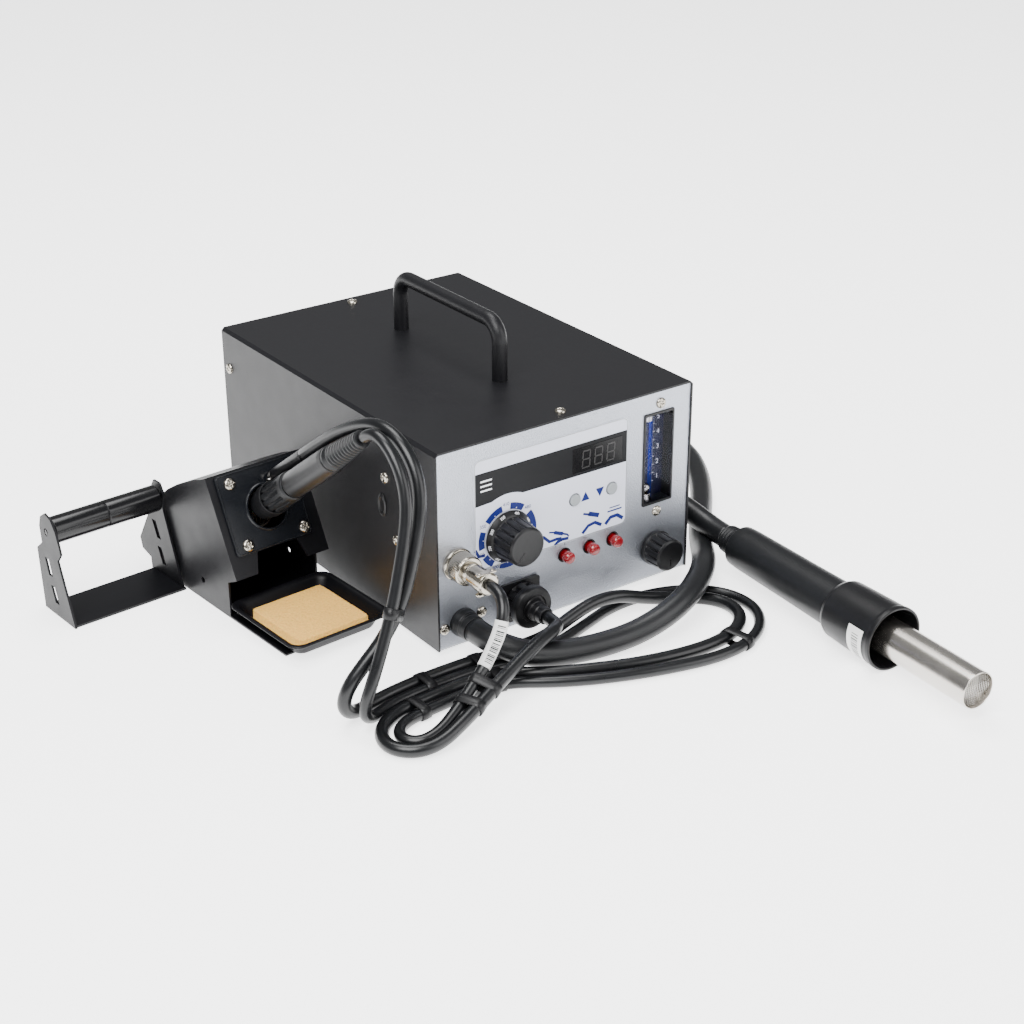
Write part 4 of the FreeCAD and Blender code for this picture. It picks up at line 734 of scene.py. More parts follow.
def area(name, at, target, size, power):
    """A soft square light aimed at a point."""
    lamp = bpy.data.lights.new(name, "AREA")
    lamp.size = size
    lamp.energy = power
    obj = bpy.data.objects.new(name, lamp)
    bpy.context.scene.collection.objects.link(obj)
    way = Vector(target) - Vector(at)
    obj.matrix_world = Matrix.Translation(at) @ way.to_track_quat("-Z", "Y").to_matrix().to_4x4()
    print("light", name, power, "W")


area("key", (-0.9, -0.6, 1.6), (0, 0.05, 0.05), 1.2, 58)
area("fill", (0.9, -1.5, 0.9), (0.05, 0.0, 0.05), 1.4, 24)
area("top", (0.1, 0.5, 1.8), (0, 0.1, 0.1), 1.0, 30)

# %% [markdown]
# ## Edges of the plain sheet-metal nodes
# Bent and cut sheet never has a perfectly sharp edge.  A narrow bevel on the solid nodes that
# stay catches a thin line of light; it is limited by angle, so flat faces stay flat.

# %% Edges of the plain sheet-metal nodes
for name, width in (("top_cover", 0.9), ("front_panel", 0.3), ("holder_bezel", 0.75),
                    ("holder_frame", 0.5), ("stand_body", 0.5), ("spool_bracket", 0.45),
                    ("mains_inlet", 0.6), ("smoke_port", 0.5), ("smoke_pipe", 0.3),
                    ("iron_socket", 0.3)):
    mod = NODES[name].modifiers.new("soft_edges", "BEVEL")
    mod.width = width * MM
    mod.segments = 2
    mod.limit_method = "ANGLE"
    mod.angle_limit = math.radians(35)
    mod.harden_normals = True
    print(name, "edges", width, "mm")

# %% [markdown]
# ## Printed film
# The panel carries a printed film with a scale ring, a black band and small line drawings. Each
# ink is a raised sheet a few hundredths of a millimetre thick, which keeps edges crisp at any
# distance. All captions are left out. x and y are measured from the panel's middle and from the
# floor.

# %% Printed film
LBL = 0.2                                            # the film's face, in front of the panel
DIAL_X, DIAL_Z = -44.0, 65.4
GREY_X, GREY_Z = (4.9, 32.8), 74.6
RED_X, RED_Z = (-2.2, 16.7, 34.4), 40.0
holes = [circle(4.6, DIAL_X, DIAL_Z)] + [circle(4.15, x, GREY_Z) for x in GREY_X]
use(plate("panel_film", [round_rect(-67.5, 48, 44.5, 118.5, 4)] + holes, 0.2, FRONT),
    M["film"], "root", "front_label", slot="label_film")
rim = [round_rect(-67.3, 48.2, 44.3, 118.3, 3.9), round_rect(-66.7, 48.8, 43.7, 117.7, 3.4)]
ink = {"ink_navy": [], "ink_black": [], "ink_white": [], "zinc": [], "film": []}


def draw(key, outlines, z=0.0, thick=0.05):
    """Add one printed shape on the film."""
    ink[key].append(plate("ink", outlines, thick, FRONT, z=LBL + z))


draw("zinc", rim, thick=0.12)
cx, cz = DIAL_X, DIAL_Z
arch = [(cx + 27 * math.cos(a), cz + 27 * math.sin(a))
        for a in np.radians(np.linspace(66, 114, 24))]
top = sorted([p for p in arch if p[1] > 89.5], key=lambda q: q[0])
draw("ink_black", [[(-67.1, 89.5)] + top + [(44.1, 89.5), (44.1, 110.0), (-67.1, 110.0)]])
for a0, a1 in ((-22, 36), (54, 84), (102, 140), (158, 192), (210, 236), (253, 286)):
    draw("ink_navy", [arc_band(cx, cz, 16.6, 20.7, a0, a1)], 0.02)
    a = math.radians((a0 + a1) / 2)
    draw("film", [circle(0.35, cx + 17.5 * math.cos(a), cz + 17.5 * math.sin(a), 12)], 0.05)
for a0, text in ((45, "480"), (93, "410"), (149, "350"), (201, "250"), (244, "200")):
    a = math.radians(a0)
    ink["ink_navy"].append(words("num", text, 3.1, (cx + 20.4 * math.cos(a),
                                                    cz + 20.4 * math.sin(a), LBL + 0.03),
                                 FRONT, 0, 0.04))
# up and down signs beside the grey buttons
draw("ink_navy", [[(9.9, 72.0), (16.1, 72.0), (13.0, 77.8)]])
draw("ink_navy", [[(23.9, 71.6), (27.0, 77.4), (20.8, 77.4)]])
# plain line drawings of the tools above the three switches
for pts, w in ((((-23.4, 56.6), (-18, 56.4), (-13.6, 52.2), (-8.5, 52.4), (-4.7, 51.9)), 2.0),
               (((-9.8, 48.6), (-7.5, 50.2), (-4, 51.0), (0.6, 50.5)), 2.0),
               (((-14.0, 58.4), (-10.0, 57.3)), 1.0), (((-10.2, 57.3), (-3.6, 54.6)), 2.3),
               (((-3.8, 54.7), (-0.6, 53.4), (0.8, 51.8)), 1.2),
               (((-67.0, 62.2), (-64.6, 57.6), (-60.2, 57.2)), 2.0),
               (((11.5, 63.4), (16.5, 61.6)), 1.4), (((15.5, 62.4), (23.5, 59.2)), 2.9),
               (((11.0, 50.4), (15.5, 54.4), (20.5, 55.2), (25.5, 52.2)), 2.2),
               (((28.5, 51.6), (32.5, 55.2), (37.5, 55.4), (42.0, 52.0)), 2.4),
               (((30.0, 59.4), (41.0, 59.4)), 1.0), (((31.5, 61.6), (39.5, 61.6)), 0.7)):
    draw("ink_navy", [stroke(pts, w)])
draw("ink_black", [stroke(((-2.2, 46.5), (-2.2, 49.0)), 0.3)])
# three plain bars in the black band
for k in range(3):
    draw("ink_white", [stroke(((-63, 104.6 - 3.0 * k), (-55, 104.6 - 3.0 * k)), 1.0)], 0.06)
for key, objs in ink.items():
    use(join("print_" + key, objs), M[key], "root")

# %% [markdown]
# ## Display
# The window is dark when the unit is off, with the three unlit digits just readable: a smooth
# plate with seven slanted bars for each digit.

# %% Display
use(plate("display_glass", [round_rect(3.2, 91.7, 39.8, 107.3, 0.6)], 0.5, FRONT,
          0.1, z=LBL - 0.15), M["led"], "root", slot="led_dark")
segs = []
for d in range(3):
    x0, y0, w, h = 10.0 + 9.2 * d, 94.0, 5.4, 10.6
    for pts in (((0, h), (w, h)), ((0, h / 2), (w, h / 2)), ((0, 0), (w, 0)),
                ((0, h / 2 + 0.6), (0, h - 0.6)), ((w, h / 2 + 0.6), (w, h - 0.6)),
                ((0, 0.6), (0, h / 2 - 0.6)), ((w, 0.6), (w, h / 2 - 0.6))):
        segs.append(plate("seg", [stroke([(x0 + p[0] + 0.06 * p[1], y0 + p[1]) for p in pts],
                                         0.9)], 0.04, FRONT, z=LBL + 0.36))
use(join("display_segments", segs), M["led_seg"], "root")

# %% [markdown]
# ## Knobs
# Two moulded knobs with flutes to grip. They could be a cylinder with an array of cut grooves;
# here the radius simply shrinks where a groove is, with enough points between the groove's ends
# for it to show.

# %% Knobs
def fluted(count, depth, z0, z1):
    """Flutes round a knob: r - depth where |sin(count a / 2)| is small, faded at z0 and z1."""
    def shape(r, z, a):
        band = np.clip((z - z0) / 1.0, 0, 1) * np.clip((z1 - z) / 0.6, 0, 1)
        rib = np.clip(np.abs(np.sin(a * count / 2)) * 2.0, 0, 1)
        return r - depth * band * (1 - rib) * (r > 6)
    return shape


DIAL = FRONT @ axes((DIAL_X, DIAL_Z, 0.2), *np.eye(3))
temp = lathe("temp_knob_body", [
    (3.1, 4), (7.4, 4), (7.4, 0.7), (16.0, 0.7, 0.3), (16.4, 1.4, 0.5), (14.2, 3.5, 0.6),
    (13.0, 4.2, 0.5), (12.95, 5.4), (12.3, 18.0), (12.2, 18.9, 0.8), (10.9, 20.0, 0.6),
    (6, 20.0), (0.01, 19.9)], DIAL, segs=240, shape=fluted(16, 1.3, 4.2, 18.8))
use(temp, M["knob"], "temp_knob_body", "temp_knob", slot="knob_black")
marks = [plate("pointer", [stroke(((-2.2, -2.6), (-7.4, -8.7)), 1.1)], 0.15, DIAL, z=19.9)]
for k, text in enumerate(("200", "250", "300", "350", "400", "450", "480")):
    a = math.radians(232 - 40 * k)
    tilt = DIAL @ axes((14.9 * math.cos(a), 14.9 * math.sin(a), 2.95), *np.eye(3)) @ yaw(
        math.degrees(a) - 90)
    lean = axes((0, 0, 0), (1, 0, 0), (0, 0.80, -0.60), (0, 0.60, 0.80))
    marks.append(words("skirt", text, 2.3, (0, 0, 0), tilt @ lean, 0, 0.1))
use(join("temp_knob_numbers", marks[1:]), M["ink_white"], "temp_knob_body")
use(marks[0], M["led"], "temp_knob_body")

AIR = FRONT @ axes((67.9, 24.7, 0), *np.eye(3))
air = lathe("air_knob_body", [
    (3.1, 4), (7.4, 4), (7.4, 0.7), (11.3, 0.7, 0.5), (11.4, 3.2, 0.6), (10.7, 3.8, 0.3),
    (10.68, 5.0), (10.5, 14.6), (10.5, 15.4, 0.8), (9.2, 16.5, 0.5),
    (5, 16.4), (0.01, 16.3)], AIR, segs=240, shape=fluted(14, 1.5, 3.8, 15.4))
use(air, M["knob"], "air_knob_body", "air_knob", slot="knob_black")
use(plate("air_knob_mark", [stroke(((0, -2.5), (0, -8.2)), 0.9)], 0.15, AIR, z=16.3),
    M["led"], "air_knob_body")

# %% [markdown]
# ## Buttons
# Three red push buttons in thin black collars and two small grey ones. Each is turned like the
# knobs, with its stem, so that it still fills its hole when it moves in.

# %% Buttons
for name, x in zip(("iron_button", "air_button", "smoke_button"), RED_X):
    cap = lathe(name + "_cap", [(0.01, -11), (1.5, -11), (1.5, -3), (3.7, -3), (3.75, 5.6, 1.0),
                                (3.1, 6.9, 0.9), (1.5, 7.0), (0.01, 7.0)], FRONT,
                (x, RED_Z, 0), 48)
    use(cap, M["red"], name + "_body", name, slot="red_plastic")
    collar = lathe(name + "_ring", [(4.15, -0.8), (4.15, 0.25, 0.1), (4.7, 0.25, 0.1),
                                    (4.75, 0.0)], FRONT, (x, RED_Z, 0), 48)
    use(collar, M["plastic"], "root")
for name, x in zip(("up_button", "down_button"), GREY_X):
    cap = lathe(name + "_cap", [(0.01, -8), (1.5, -8), (1.5, -2), (3.7, -2), (3.7, 1.3, 0.4),
                                (3.0, 1.6, 0.4), (0.01, 1.55)], FRONT, (x, GREY_Z, 0), 48)
    use(cap, M["grey"], name + "_body", name, slot="grey_plastic")

# %% [markdown]
# ## Flow meter
# A clear block with a bored channel in which a ball floats, and a printed scale beside it. The
# block is drawn as a dark frame, a thin clear cover and a half-round trough, because a solid
# clear block would hide the ball in refraction.

# %% Flow meter
back = plate("meter_back", [round_rect(57.1, 55.1, 79.9, 115.5, 0.8)], 4.0, FRONT, 0.2, z=-12)
use(back, M["meter_back"], "root")
case_part = plate("meter_frame", [round_rect(57.05, 55.05, 79.95, 115.55, 1.0),
                                  round_rect(58.0, 56.2, 79.0, 114.4, 0.6)], 13.6, FRONT, 0.3,
                  z=-12.8)
use(case_part, M["knob"], "root")
cover = plate("meter_cover", [round_rect(58.05, 56.25, 78.95, 114.35, 0.6)], 0.8, FRONT, 0.1,
              z=0.0)
use(cover, M["acrylic"], "root", "flow_meter", slot="clear_acrylic")
ang = np.linspace(math.pi, 2 * math.pi, 24)
pts = [(63.6 + 4.7 * math.cos(a), y, -5.2 + 4.7 * math.sin(a))
       for y in (56.6, 114.0) for a in ang]
use(mesh_piece("meter_bore", pts, grid_faces(2, 24), FRONT), M["meter_tube"], "root")
lines = []
for k in range(5):
    y = 68.5 + 10.0 * k
    lines.append(words("flow", str(k + 1), 4.6, (74.6, y, -7.9), FRONT, 0, 0.1))
for k in range(41):
    y = 66 + 1.1 * k
    w = 3.0 if k % 5 == 0 else 1.8
    lines.append(plate("tick", [[(68.9, y - 0.13), (68.9 + w, y - 0.13), (68.9 + w, y + 0.13),
                                 (68.9, y + 0.13)]], 0.05, FRONT, z=-7.95))
use(join("meter_scale", lines), M["ink_white"], "root")

# %% [markdown]
# ## Screws
# Domed cross-head screws hold the sheet. One formula gives the dome and the cross, so a head
# needs no Boolean, and its turn differs from screw to screw.

# %% Screws
def screw(name, frame_, at, r, h, turn=0.0):
    """A domed head: height h (1 - (0.92 q)^2.4)^0.5 at the share q of the radius r and 0 at
    the rim, less h / 2 in the cross, where |x| or |y| is under r / 10 and q under 0.58."""
    q, a = np.meshgrid(np.linspace(0.0, 1.0, 18), np.linspace(0, 2 * math.pi, 72, endpoint=False),
                       indexing="ij")
    z = np.where(q < 1, h * np.sqrt(np.maximum(1 - (0.92 * q) ** 2.4, 0)), 0.0)
    x, y = np.abs(q * r * np.cos(a + turn)), np.abs(q * r * np.sin(a + turn))
    z -= 0.5 * h * ((np.minimum(x, y) < 0.1 * r) & (q < 0.58))
    pts = np.stack([q * r * np.cos(a) + at[0], q * r * np.sin(a) + at[1], z + at[2]], -1)
    return mesh_piece(name, pts.reshape(-1, 3), grid_faces(18, 72, close_v=True), frame_)


heads = [screw("s", FRONT, (x, y, 0), 3.4, 1.8, t) for x, y, t in
         ((-89.2, 17.5, 0.4), (-63, 21, 0.9), (69.5, 121, 0.2), (68.6, 49.3, 1.1))]
TOPF = axes((CASE_X, 115, 130), *np.eye(3))
heads += [screw("s", TOPF, (0, y, 0), 3.4, 1.8, 0.5) for y in (-116, 116)]
LEFTF = axes((CASE_X - 94, 115, 0), (0, -1, 0), (0, 0, 1), (-1, 0, 0))
RIGHTF = axes((CASE_X + 94, 115, 0), (0, 1, 0), (0, 0, 1), (1, 0, 0))
for y, z in ((116.7, 104), (-71.7, 96.3), (-83, 60)):
    heads.append(screw("s", LEFTF, (-y, z, 0), 3.4, 1.8, 0.3))
    heads.append(screw("s", RIGHTF, (y, z, 0), 3.4, 1.8, 0.8))
use(join("case_screw_heads", heads), M["nickel"], "root", "case_screws", slot="nickel")
heads = [screw("s", BEZEL, (32.5 + sx * 20.1, y, 1.6), 3.7, 2.1, 0.3 + y) for sx in (-1, 1)
         for y in (5.1, 43.5)]
use(join("bezel_screw_heads", heads), M["nickel"], "root", "bezel_screws", slot="nickel")

# %% [markdown]
# ## Iron socket and plug
# A round metal connector: a flange on the panel, a knurled locking ring that turns and the
# plug's shell with its cord clamp. All are turned pieces; the knurl is a cosine on the ring's
# radius.

# %% Iron socket and plug
SOCK = FRONT @ axes((-80, 58, 0), *np.eye(3))
socket = lathe("socket_flange", [
    (0.01, -13.9), (7.8, -13.9), (7.8, 0), (9.9, 0, 0.2), (10.0, 2.2, 0.5), (9.2, 3.0, 0.4),
    (0.01, 3.0)], SOCK, segs=96)
use(socket, M["nickel"], "root", "iron_socket", slot="nickel")


def knurl(count, depth, z0, z1):
    """Fine straight ribs: r - depth (1 + cos(count a)) / 2 between the heights z0 and z1."""
    def shape(r, z, a):
        return r - depth * (0.5 + 0.5 * np.cos(a * count)) * ((z > z0) & (z < z1)) * (r > 8)
    return shape


ring = lathe("locking_ring", [
    (6.6, 3.3), (9.0, 3.3, 0.3), (9.2, 4.3, 0.2), (9.2, 8.6), (9.2, 12.4, 0.3), (8.5, 13.9, 0.6),
    (6.6, 14.0)], SOCK, segs=288, shape=knurl(48, 0.35, 4.2, 9.0))
use(ring, M["nickel"], "plug_ring_body", "plug_ring", slot="nickel")
shell = lathe("plug_shell", [
    (0.01, 3), (6.3, 3), (6.5, 14.5), (6.5, 17.0, 0.2), (5.9, 17.4, 0.2), (5.9, 18.6, 0.2),
    (6.5, 19.0, 0.2), (6.5, 25.6, 0.3), (6.9, 26.2, 0.2), (6.9, 32.0, 0.6), (5.8, 32.9, 0.5),
    (3.6, 33.0), (0.01, 33.0)], SOCK, segs=96)
use(shell, M["nickel"], "root", "iron_plug", slot="nickel")
parts = []
for s in (-1, 1):
    parts.append(plate("clamp", [round_rect(-6.2, -1.6, 6.2, 1.6, 0.8)], 1.2, SOCK @ axes(
        (0, s * 6.3, 29.4), (1, 0, 0), (0, 0, 1), (0, 1, 0)), 0.3, z=-0.6))
for s in (-1, 1):
    parts.append(screw("cs", SOCK @ axes((s * 4.4, 6.7, 29.4), (1, 0, 0), (0, 0, -1),
                                         (0, 1, 0)), (0, 0, 0), 1.2, 0.6))
use(join("plug_clamp", parts), M["nickel"], "root")

# %% [markdown]
# ## Smoke port, hose outlet and side plug
# The smoke hose pushes on a port with a lobed cap, the hot-air hose leaves through a ribbed
# outlet, and a blank plug closes a hole in the case's side. The oval plug is a turned one
# stretched upwards.

# %% Smoke port, hose outlet and side plug
PORT = FRONT @ axes((-36, 21, 0), *np.eye(3))


def lobes(count, depth, z0, z1):
    """Wide grips round a cap: r - depth where cos(count a) is positive, faded at z0 and z1."""
    def shape(r, z, a):
        band = np.clip((z - z0) / 0.5, 0, 1) * np.clip((z1 - z) / 0.5, 0, 1)
        return r - depth * band * np.clip(np.cos(a * count) * 1.8, 0, 1) * (r > 9)
    return shape


cap = lathe("smoke_cap_body", [
    (4.6, 2.3), (11.6, 2.3, 0.4), (12.0, 3.2, 0.4), (12.0, 4.0), (12.0, 8.6),
    (12.0, 9.2, 0.4), (12.9, 9.8, 0.4),
    (13.4, 10.4, 0.4), (13.4, 13.6, 0.6), (12.8, 15.4, 0.8), (8.6, 15.9, 0.5), (8.2, 15.0, 0.3),
    (6.8, 15.0, 0.3), (6.4, 15.8, 0.3), (4.6, 15.8)], PORT, segs=192,
    shape=lobes(9, 1.7, 2.8, 9.4))
use(cap, M["plastic"], "smoke_cap_body", "smoke_cap", slot="black_plastic")
nut = lathe("smoke_nut", [(4.5, 16.1), (6.6, 16.1, 0.4), (6.4, 18.6, 0.4), (5.9, 19.0, 0.3),
                          (5.8, 22.6, 0.3), (5.3, 23.2, 0.3), (5.2, 27.2, 0.4), (4.5, 27.6)],
            PORT, segs=48)
use(nut, M["plastic"], "root")
GLAND = FRONT @ axes((-76.6, 18.8, 0), *np.eye(3))
gland = lathe("hose_outlet", [
    (5, -8), (7, -8), (7, 0), (8.9, 0, 0.3), (8.95, 2.6, 0.5), (8.5, 4.2, 0.6), (8.3, 6.0, 0.3),
    (7.9, 6.6, 0.3), (8.3, 7.3, 0.3), (7.8, 8.4, 0.3), (8.2, 9.2, 0.3), (7.8, 12.6, 0.5),
    (6.5, 12.8)], GLAND, segs=64)
use(gland, M["rubber"], "root", "hose_gland", slot="black_rubber")
plug = lathe("oval_plug", [(0.01, -3), (3.4, -3), (3.6, 0), (4.5, 0.0, 0.2), (4.4, 0.9, 0.5),
                           (3.2, 1.5, 0.5), (2.6, 0.7, 0.3), (0.01, 0.6)], LEFTF,
             (68.5, 0, 0), 48)
PLUG_Z, STRETCH = 77.7 * MM, 15 / 9
co = np.empty(3 * len(plug.data.vertices), np.float32)
plug.data.vertices.foreach_get("co", co)
co[2::3] = PLUG_Z + co[2::3] * STRETCH
plug.data.vertices.foreach_set("co", co)
plug.data.update()
use(plug, M["plastic"], "root", "side_plug")

# %% [markdown]
# ## Hot-air gun
# Turned pieces along the gun's own axis: cuff, rubber handle, collar with inner ribs, and
# the stainless nozzle with its screen.

# %% Gun
cuff = lathe("gun_cuff", [(0.01, -12), (8.6, -12), (9.0, -11, 0.4), (8.4, -9.8, 0.3),
                          (9.2, -8.6, 0.3), (8.6, -7.2, 0.3), (9.4, -6, 0.3), (8.8, -4.6, 0.3),
                          (9.7, -3.2, 0.3), (9.9, 0), (0.01, 0)], GUN, segs=64)
use(cuff, M["rubber"], "gun", "gun_sleeve", slot="black_rubber")
grip = lathe("gun_grip", [
    (0.01, 0), (11.5, 0, 0.5), (13.2, 1.2, 1.0), (13.6, 8, 2), (13.9, 30, 5), (14.2, 60, 5),
    (14.8, 96, 2), (14.9, 100), (11, 100), (11, 92), (0.01, 92)], GUN, segs=96)
use(grip, M["rubber"], "gun", "gun_handle", slot="black_rubber")


def inner_ribs(r, z, a):
    """Ribs inside the collar: r - 1.6 where cos(10 a) is near 1, on its inner wall only."""
    inside = (r > 12.5) & (r < 17.2) & (z > 104) & (z < 132)
    rib = np.clip(np.cos(a * 10) * 4 - 2.6, 0, 1)
    return r - 1.6 * rib * inside


collar = lathe("gun_collar_body", [
    (15.0, 100), (15.0, 96), (17.0, 96, 0.6), (18.4, 99, 1.5), (18.9, 112, 4), (19.4, 130, 4),
    (19.6, 136.5, 0.6), (19.95, 138.5, 0.6), (19.9, 141, 0.8), (18.4, 141, 0.6),
    (17.6, 134), (17.0, 128),
    (16.6, 108), (12.2, 103.2, 0.8), (12.2, 100)], GUN, segs=240, shape=inner_ribs)
use(collar, M["plastic"], "gun", "gun_collar", slot="black_plastic")
nozzle = lathe("nozzle_body", [
    (8.6, 105), (8.6, 103.2), (11.2, 103.2, 0.4), (11.2, 150), (11.2, 205.5), (11.25, 207.6, 0.3),
    (10.7, 208, 0.2), (10.45, 207), (10.45, 105.2), (8.6, 105)], GUN, segs=96)
heat = material("nozzle_steel", "#c2bdb6", 0.24, 1.0, 0.7, 0.06, 0.1, 0.1, spread=25)
use(nozzle, heat, "gun", "nozzle_tube", slot="stainless")

# %% [markdown]
# ## Nozzle screen
# Two layers of fine wire cross just inside the nozzle's mouth. Each wire is a thin tube as long
# as the chord it spans.

# %% Nozzle screen
wires = []
for k in range(-7, 8):
    half = math.sqrt(10.4 ** 2 - (1.38 * k) ** 2)
    wires.append(tube("w", [(1.38 * k, -half, 205.4), (1.38 * k, 0, 205.9),
                            (1.38 * k, half, 205.4)], 0.24, 6, GUN))
    wires.append(tube("w", [(-half, 1.38 * k, 205.2), (0, 1.38 * k, 205.5),
                            (half, 1.38 * k, 205.2)], 0.24, 6, GUN))
use(join("nozzle_screen_wires", wires), M["steel"], "gun")

# %% [markdown]
# ## Sticker on the collar
# A small white sticker follows the collar's taper. Its text is left out and plain bars stand
# for it.

# %% Collar sticker
def on_collar(name, z0, z1, a0, a1, lift):
    """A patch on the collar: (r cos a, r sin a, z), with r read from the collar's taper."""
    z, a = np.meshgrid(np.linspace(z0, z1, 6), np.linspace(a0, a1, 24), indexing="ij")
    r = np.interp(z, [99, 112, 130, 136.5], [18.4, 18.9, 19.4, 19.6]) + lift
    patch = np.stack([r * np.cos(a), r * np.sin(a), z], -1)
    return mesh_piece(name, patch.reshape(-1, 3), grid_faces(6, 24), GUN)


use(on_collar("gun_sticker", 122, 134.5, 2.75, 4.1, 0.1), M["marker"], "gun")
bars = [on_collar("b", 126, 131.5, 2.95 + 0.08 * k, 2.97 + 0.08 * k + 0.012 * (k % 3), 0.14)
        for k in range(12)]
use(join("gun_sticker_bars", bars), M["ink_black"], "gun")

# %% [markdown]
# ## Soldering iron
# Grip, rear handle and ribbed boot are turned along the iron's axis, because the real ones
# are moulded round, and the smoke pipe is clipped beside them.

# %% Iron
grip = lathe("iron_grip_body", [
    (5.5, 12), (5.5, 0.3), (8.4, 0.3, 0.5), (9.3, 2.2, 0.8), (9.4, 13, 0.4), (8.8, 13.8, 0.4),
    (8.8, 14.6, 0.4), (9.3, 15.6, 0.4), (9.35, 17.2), (9.4, 39.0), (9.4, 40.5, 0.6),
    (9.2, 43.8, 0.6), (8.4, 45, 0.5),
    (0.01, 45)], IRON, segs=192,
    shape=lambda r, z, a: r - 1.1 * np.clip(1.5 * np.cos(a * 12), 0, 1) * (r > 8.9) * (
        np.clip((z - 15.8) / 1.2, 0, 1) * np.clip((40.3 - z) / 1.2, 0, 1)))
use(grip, M["rubber"], "iron", "iron_grip", slot="black_rubber")
rear = lathe("iron_rear", [
    (0.01, 45), (7.8, 45, 0.3), (8.3, 46.5, 0.6), (8.4, 60), (8.4, 93, 0.8), (8.1, 96.5, 0.5),
    (7.8, 97), (0.01, 97)], IRON, segs=96)
use(rear, M["plastic"], "iron", "iron_handle", slot="black_plastic")
prof = [(0.01, 97), (7.7, 97, 0.3), (7.9, 99.0, 0.5)]
for k in range(11):
    z = 101.5 + 3.0 * k
    r = 7.5 - 0.22 * k
    prof += [(r - 0.75, z, 0.3), (r - 0.75, z + 0.9, 0.3), (r, z + 1.2, 0.3), (r, z + 2.4, 0.3)]
prof += [(4.9, 135, 0.3), (0.01, 135)]
boot = lathe("iron_boot_body", prof, IRON, segs=64, steps=2)
use(boot, M["rubber"], "iron", "iron_boot", slot="black_rubber")
barrel = lathe("iron_barrel", [
    (0.01, 11.9), (3.9, 11.9), (3.9, 2), (3.9, -60, 0.4), (3.4, -62, 0.3), (2.6, -62.2, 0.3),
    (2.5, -70, 1.0), (0.5, -81.6, 0.3), (0.01, -82)], IRON, segs=64)
use(barrel, M["steel"], "iron", "iron_tip", slot="stainless")
pipe = [lathe("pipe", [(3.4, 55), (3.9, 55, 0.2), (4.0, 54.4, 0.2), (4.0, 15.0, 0.3), (3.5, 14.6),
                       (3.4, 55)], IRON, (8, 13.5, 0), 48),
        lathe("clip", [(9.5, 10.8), (10.4, 10.8, 0.2), (10.4, 18.2, 0.2), (9.5, 18.2)], IRON,
              (0, 0, 0), 64)]
use(join("smoke_pipe_body", pipe), M["plastic"], "iron", "smoke_pipe", slot="stainless")
pipe = [lathe("end", [(3.0, 20), (3.4, 20), (3.4, 9.4, 0.2), (3.2, 9.0, 0.1), (3.0, 9.2),
                      (3.0, 20)], IRON, (8, 13.5, 0), 48),
        screw("pipe_screw", IRON @ axes((2.6, 11.0, 14.5), (0, 0, 1), (0.86, -0.5, 0),
                                        (0.5, 0.86, 0)), (0, 0, 0), 2.2, 1.1)]
use(join("smoke_pipe_end", pipe), M["steel"], "iron")

# %% [markdown]
# ## Wire guard and the holder's mouth
# A coil of wire behind the mouth keeps the hot barrel off the sheet.  It is a tube along a
# helix: (R cos a, R sin a, z0 - length a / (2 pi turns)).  A rim and a thin edge line finish
# the face plate.

# %% Wire guard behind the mouth
TURNS, STEPS = 8, 30
a = 2 * math.pi / STEPS * np.arange(TURNS * STEPS + 1)
line = np.stack([10.2 * np.cos(a), 10.2 * np.sin(a), -5.9 - 44.0 * a / (2 * math.pi * TURNS)], 1)
coil = tube("guard_coil", line, 0.7, 8, IRON)
use(coil, M["core"], "root", "wire_guard", slot="stainless")
rim = lathe("mouth_rim", [(13.0, 1.2), (13.0, 1.6), (13.4, 2.4, 0.3), (14.3, 2.4, 0.4),
                          (14.9, 1.6)], BEZEL, (32.5, 24, 0), 72)
use(rim, M["bezel"], "root")

edge = [(x, y, 1.7) for x, y in round_rect(4.3, 0.8, 56.7, 49.2, 2.2, 6)]
use(tube("face_edge", edge, 0.45, 8, BEZEL, closed=True), M["bezel"], "root")

# %% [markdown]
# ## Sponge tray
# A pressed sheet tray with a rolled rim. Rounded rectangles are stacked from its inner floor
# over the rim to its underside and joined into one skin, which one level of subdivision then
# smooths.

# %% Sponge tray
TRAY = STAND @ axes((32, -39, 1.4), *np.eye(3))


def ring_points(w, d, r, z, n=8):
    """Points round a rounded rectangle at a height."""
    return [(x, y, z) for x, y in round_rect(-w / 2, -d / 2, w / 2, d / 2, r, n)]


rings = [(40, 42, 3, 0.05), (52, 54, 5, 0.0), (55.5, 57.5, 6, 0.5), (58, 60, 6.5, 3.0),
         (62.5, 64.5, 7, 9.0), (65.0, 67.0, 7.5, 10.4), (70.0, 72.0, 8, 10.9),
         (71.6, 73.6, 8.4, 10.5), (71.8, 73.8, 8.4, 9.9), (71.2, 73.2, 8.3, 9.7),
         (70.6, 72.6, 8.2, 10.1), (65.4, 67.4, 7.3, 9.6), (62.4, 64.4, 6.6, 8.6),
         (56.2, 58.2, 5.6, 1.4), (52, 54, 5, 1.0), (40, 42, 3, 1.0)]
rings = rings[::-1]
pts = [p for w, d, r, z in rings for p in ring_points(w, d, r, z)]
n = len(ring_points(10, 10, 1, 0))
faces = grid_faces(len(rings), n, close_v=True)
faces += [tuple(range(n)), tuple(range((len(rings) - 1) * n, len(rings) * n))]
tray = mesh_piece("tray_body", pts, faces, TRAY)
mod = tray.modifiers.new("soft", "SUBSURF")
mod.levels = mod.render_levels = 1
use(tray, M["holder"], "tray_body", "sponge_tray", slot="stand_paint")

# %% [markdown]
# ## Sponge
# A pressed cellulose block. Its top is a height field: a rounded edge plus a few sine waves of
# falling height for the uneven surface, z = 1.25 + 6.7 sqrt(1 - (1 - e)^2) + 0.12 waves, with e
# rising from 0 at the edge to 1. The pores are in its material.

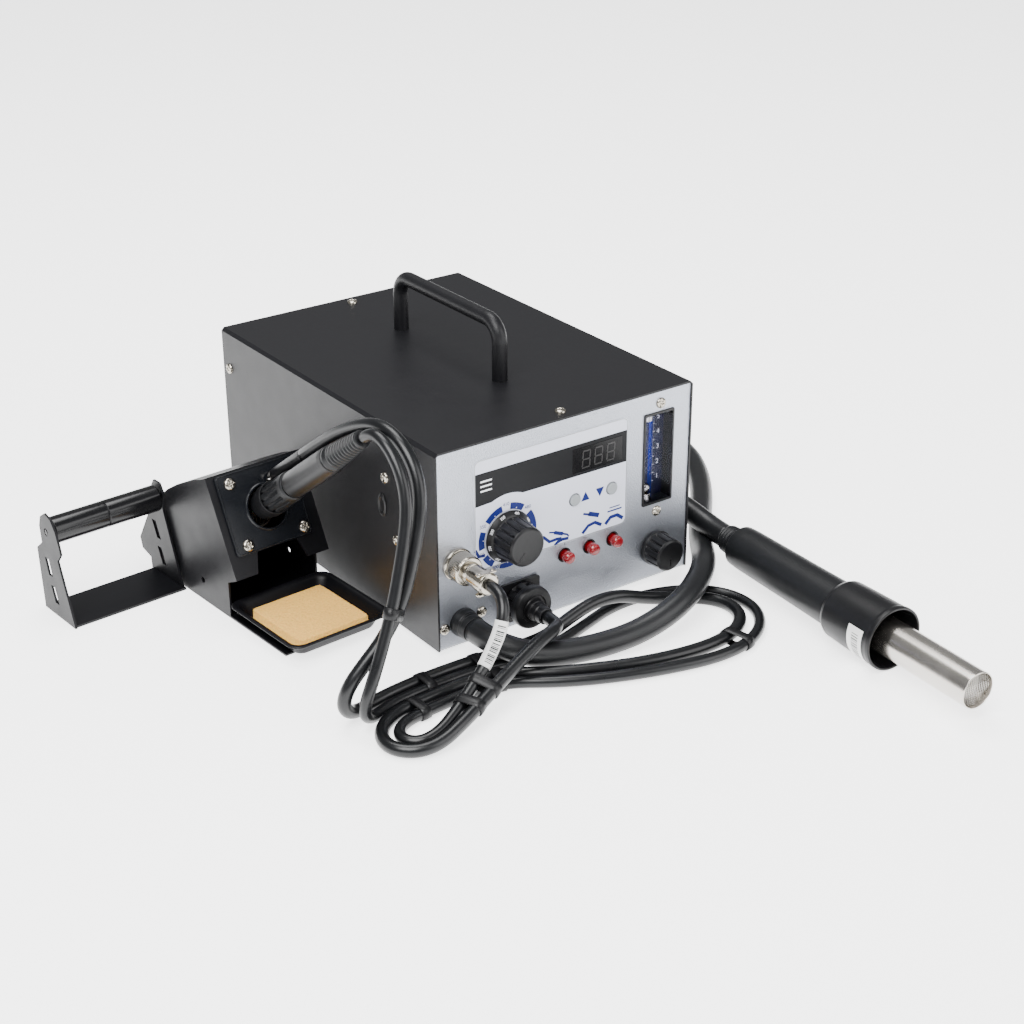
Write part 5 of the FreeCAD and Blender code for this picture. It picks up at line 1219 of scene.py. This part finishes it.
# %% Sponge
nu, nv = 84, 84
uu, vv = np.meshgrid(np.linspace(-1, 1, nu), np.linspace(-1, 1, nv), indexing="ij")
rng = np.random.default_rng(7)
pores = sum(rng.normal(0, 1.0 / k) * np.sin(k * 2.3 * uu + rng.uniform(0, 6))
            * np.sin(k * 2.1 * vv + rng.uniform(0, 6)) for k in range(1, 9))
edge = np.clip((1 - np.maximum(abs(uu), abs(vv))) / 0.035, 0, 1)
top_z = 1.25 + 6.9 * np.sqrt(np.clip(1 - (1 - edge) ** 2, 0, 1)) * 0.97 + 0.12 * pores * edge
bot_z = np.full_like(top_z, 1.25)
X, Y = uu * 25.5, vv * 26.5
round_off = np.clip((np.abs(uu) - 0.86) / 0.14, 0, 1) * np.clip((np.abs(vv) - 0.86) / 0.14, 0, 1)
X, Y = X * (1 - 0.035 * round_off), Y * (1 - 0.035 * round_off)
top_pts = np.stack([X, Y, top_z], -1).reshape(-1, 3)
bot_pts = np.stack([X, Y, bot_z], -1).reshape(-1, 3)
faces = grid_faces(nu, nv) + [f[::-1] for f in grid_faces(nu, nv, start=nu * nv)]
border = ([i * nv for i in range(nu)] + [(nu - 1) * nv + j for j in range(1, nv)]
          + [i * nv + nv - 1 for i in range(nu - 2, -1, -1)] + [j for j in range(nv - 2, 0, -1)])
for a, b in zip(border, border[1:] + border[:1]):
    faces.append((b, a, a + nu * nv, b + nu * nv))
sponge = mesh_piece("sponge_block", np.concatenate([top_pts, bot_pts]), faces, TRAY)
use(sponge, M["sponge"], "sponge_body", "sponge", slot="sponge_cellulose")

# %% [markdown]
# ## Spool roller
# A glossy roller in two halves with a joint line in the middle, turning on two pins in the
# spool bracket.

# %% Spool roller
ROLLER = STAND @ axes((-79 + 1.4 + 1.3, 73, 55.5), (0, 0, -1), (0, 1, 0), (1, 0, 0))
half = (77.5 - 2 * 1.4 - 2 * 1.3) / 2
roll = lathe("roller_body_turned", [
    (0.01, -2.6), (2.45, -2.6), (2.45, 0), (7.9, 0, 0.4), (8.4, 0.8, 0.4), (8.4, half - 0.5, 0.3),
    (7.9, half - 0.1, 0.1), (7.9, half + 0.1, 0.1), (8.4, half + 0.5, 0.3),
    (8.4, 2 * half - 0.8, 0.4), (7.9, 2 * half, 0.4), (2.45, 2 * half), (2.45, 2 * half + 2.6),
    (0.01, 2 * half + 2.6)], ROLLER, segs=72)
use(roll, M["roller"], "roller_body", "spool_roller", slot="roller_black")

# %% [markdown]
# ## Finish
# Nothing is left selected.

# %% Finish
for obj in bpy.context.selected_objects:
    obj.select_set(False)
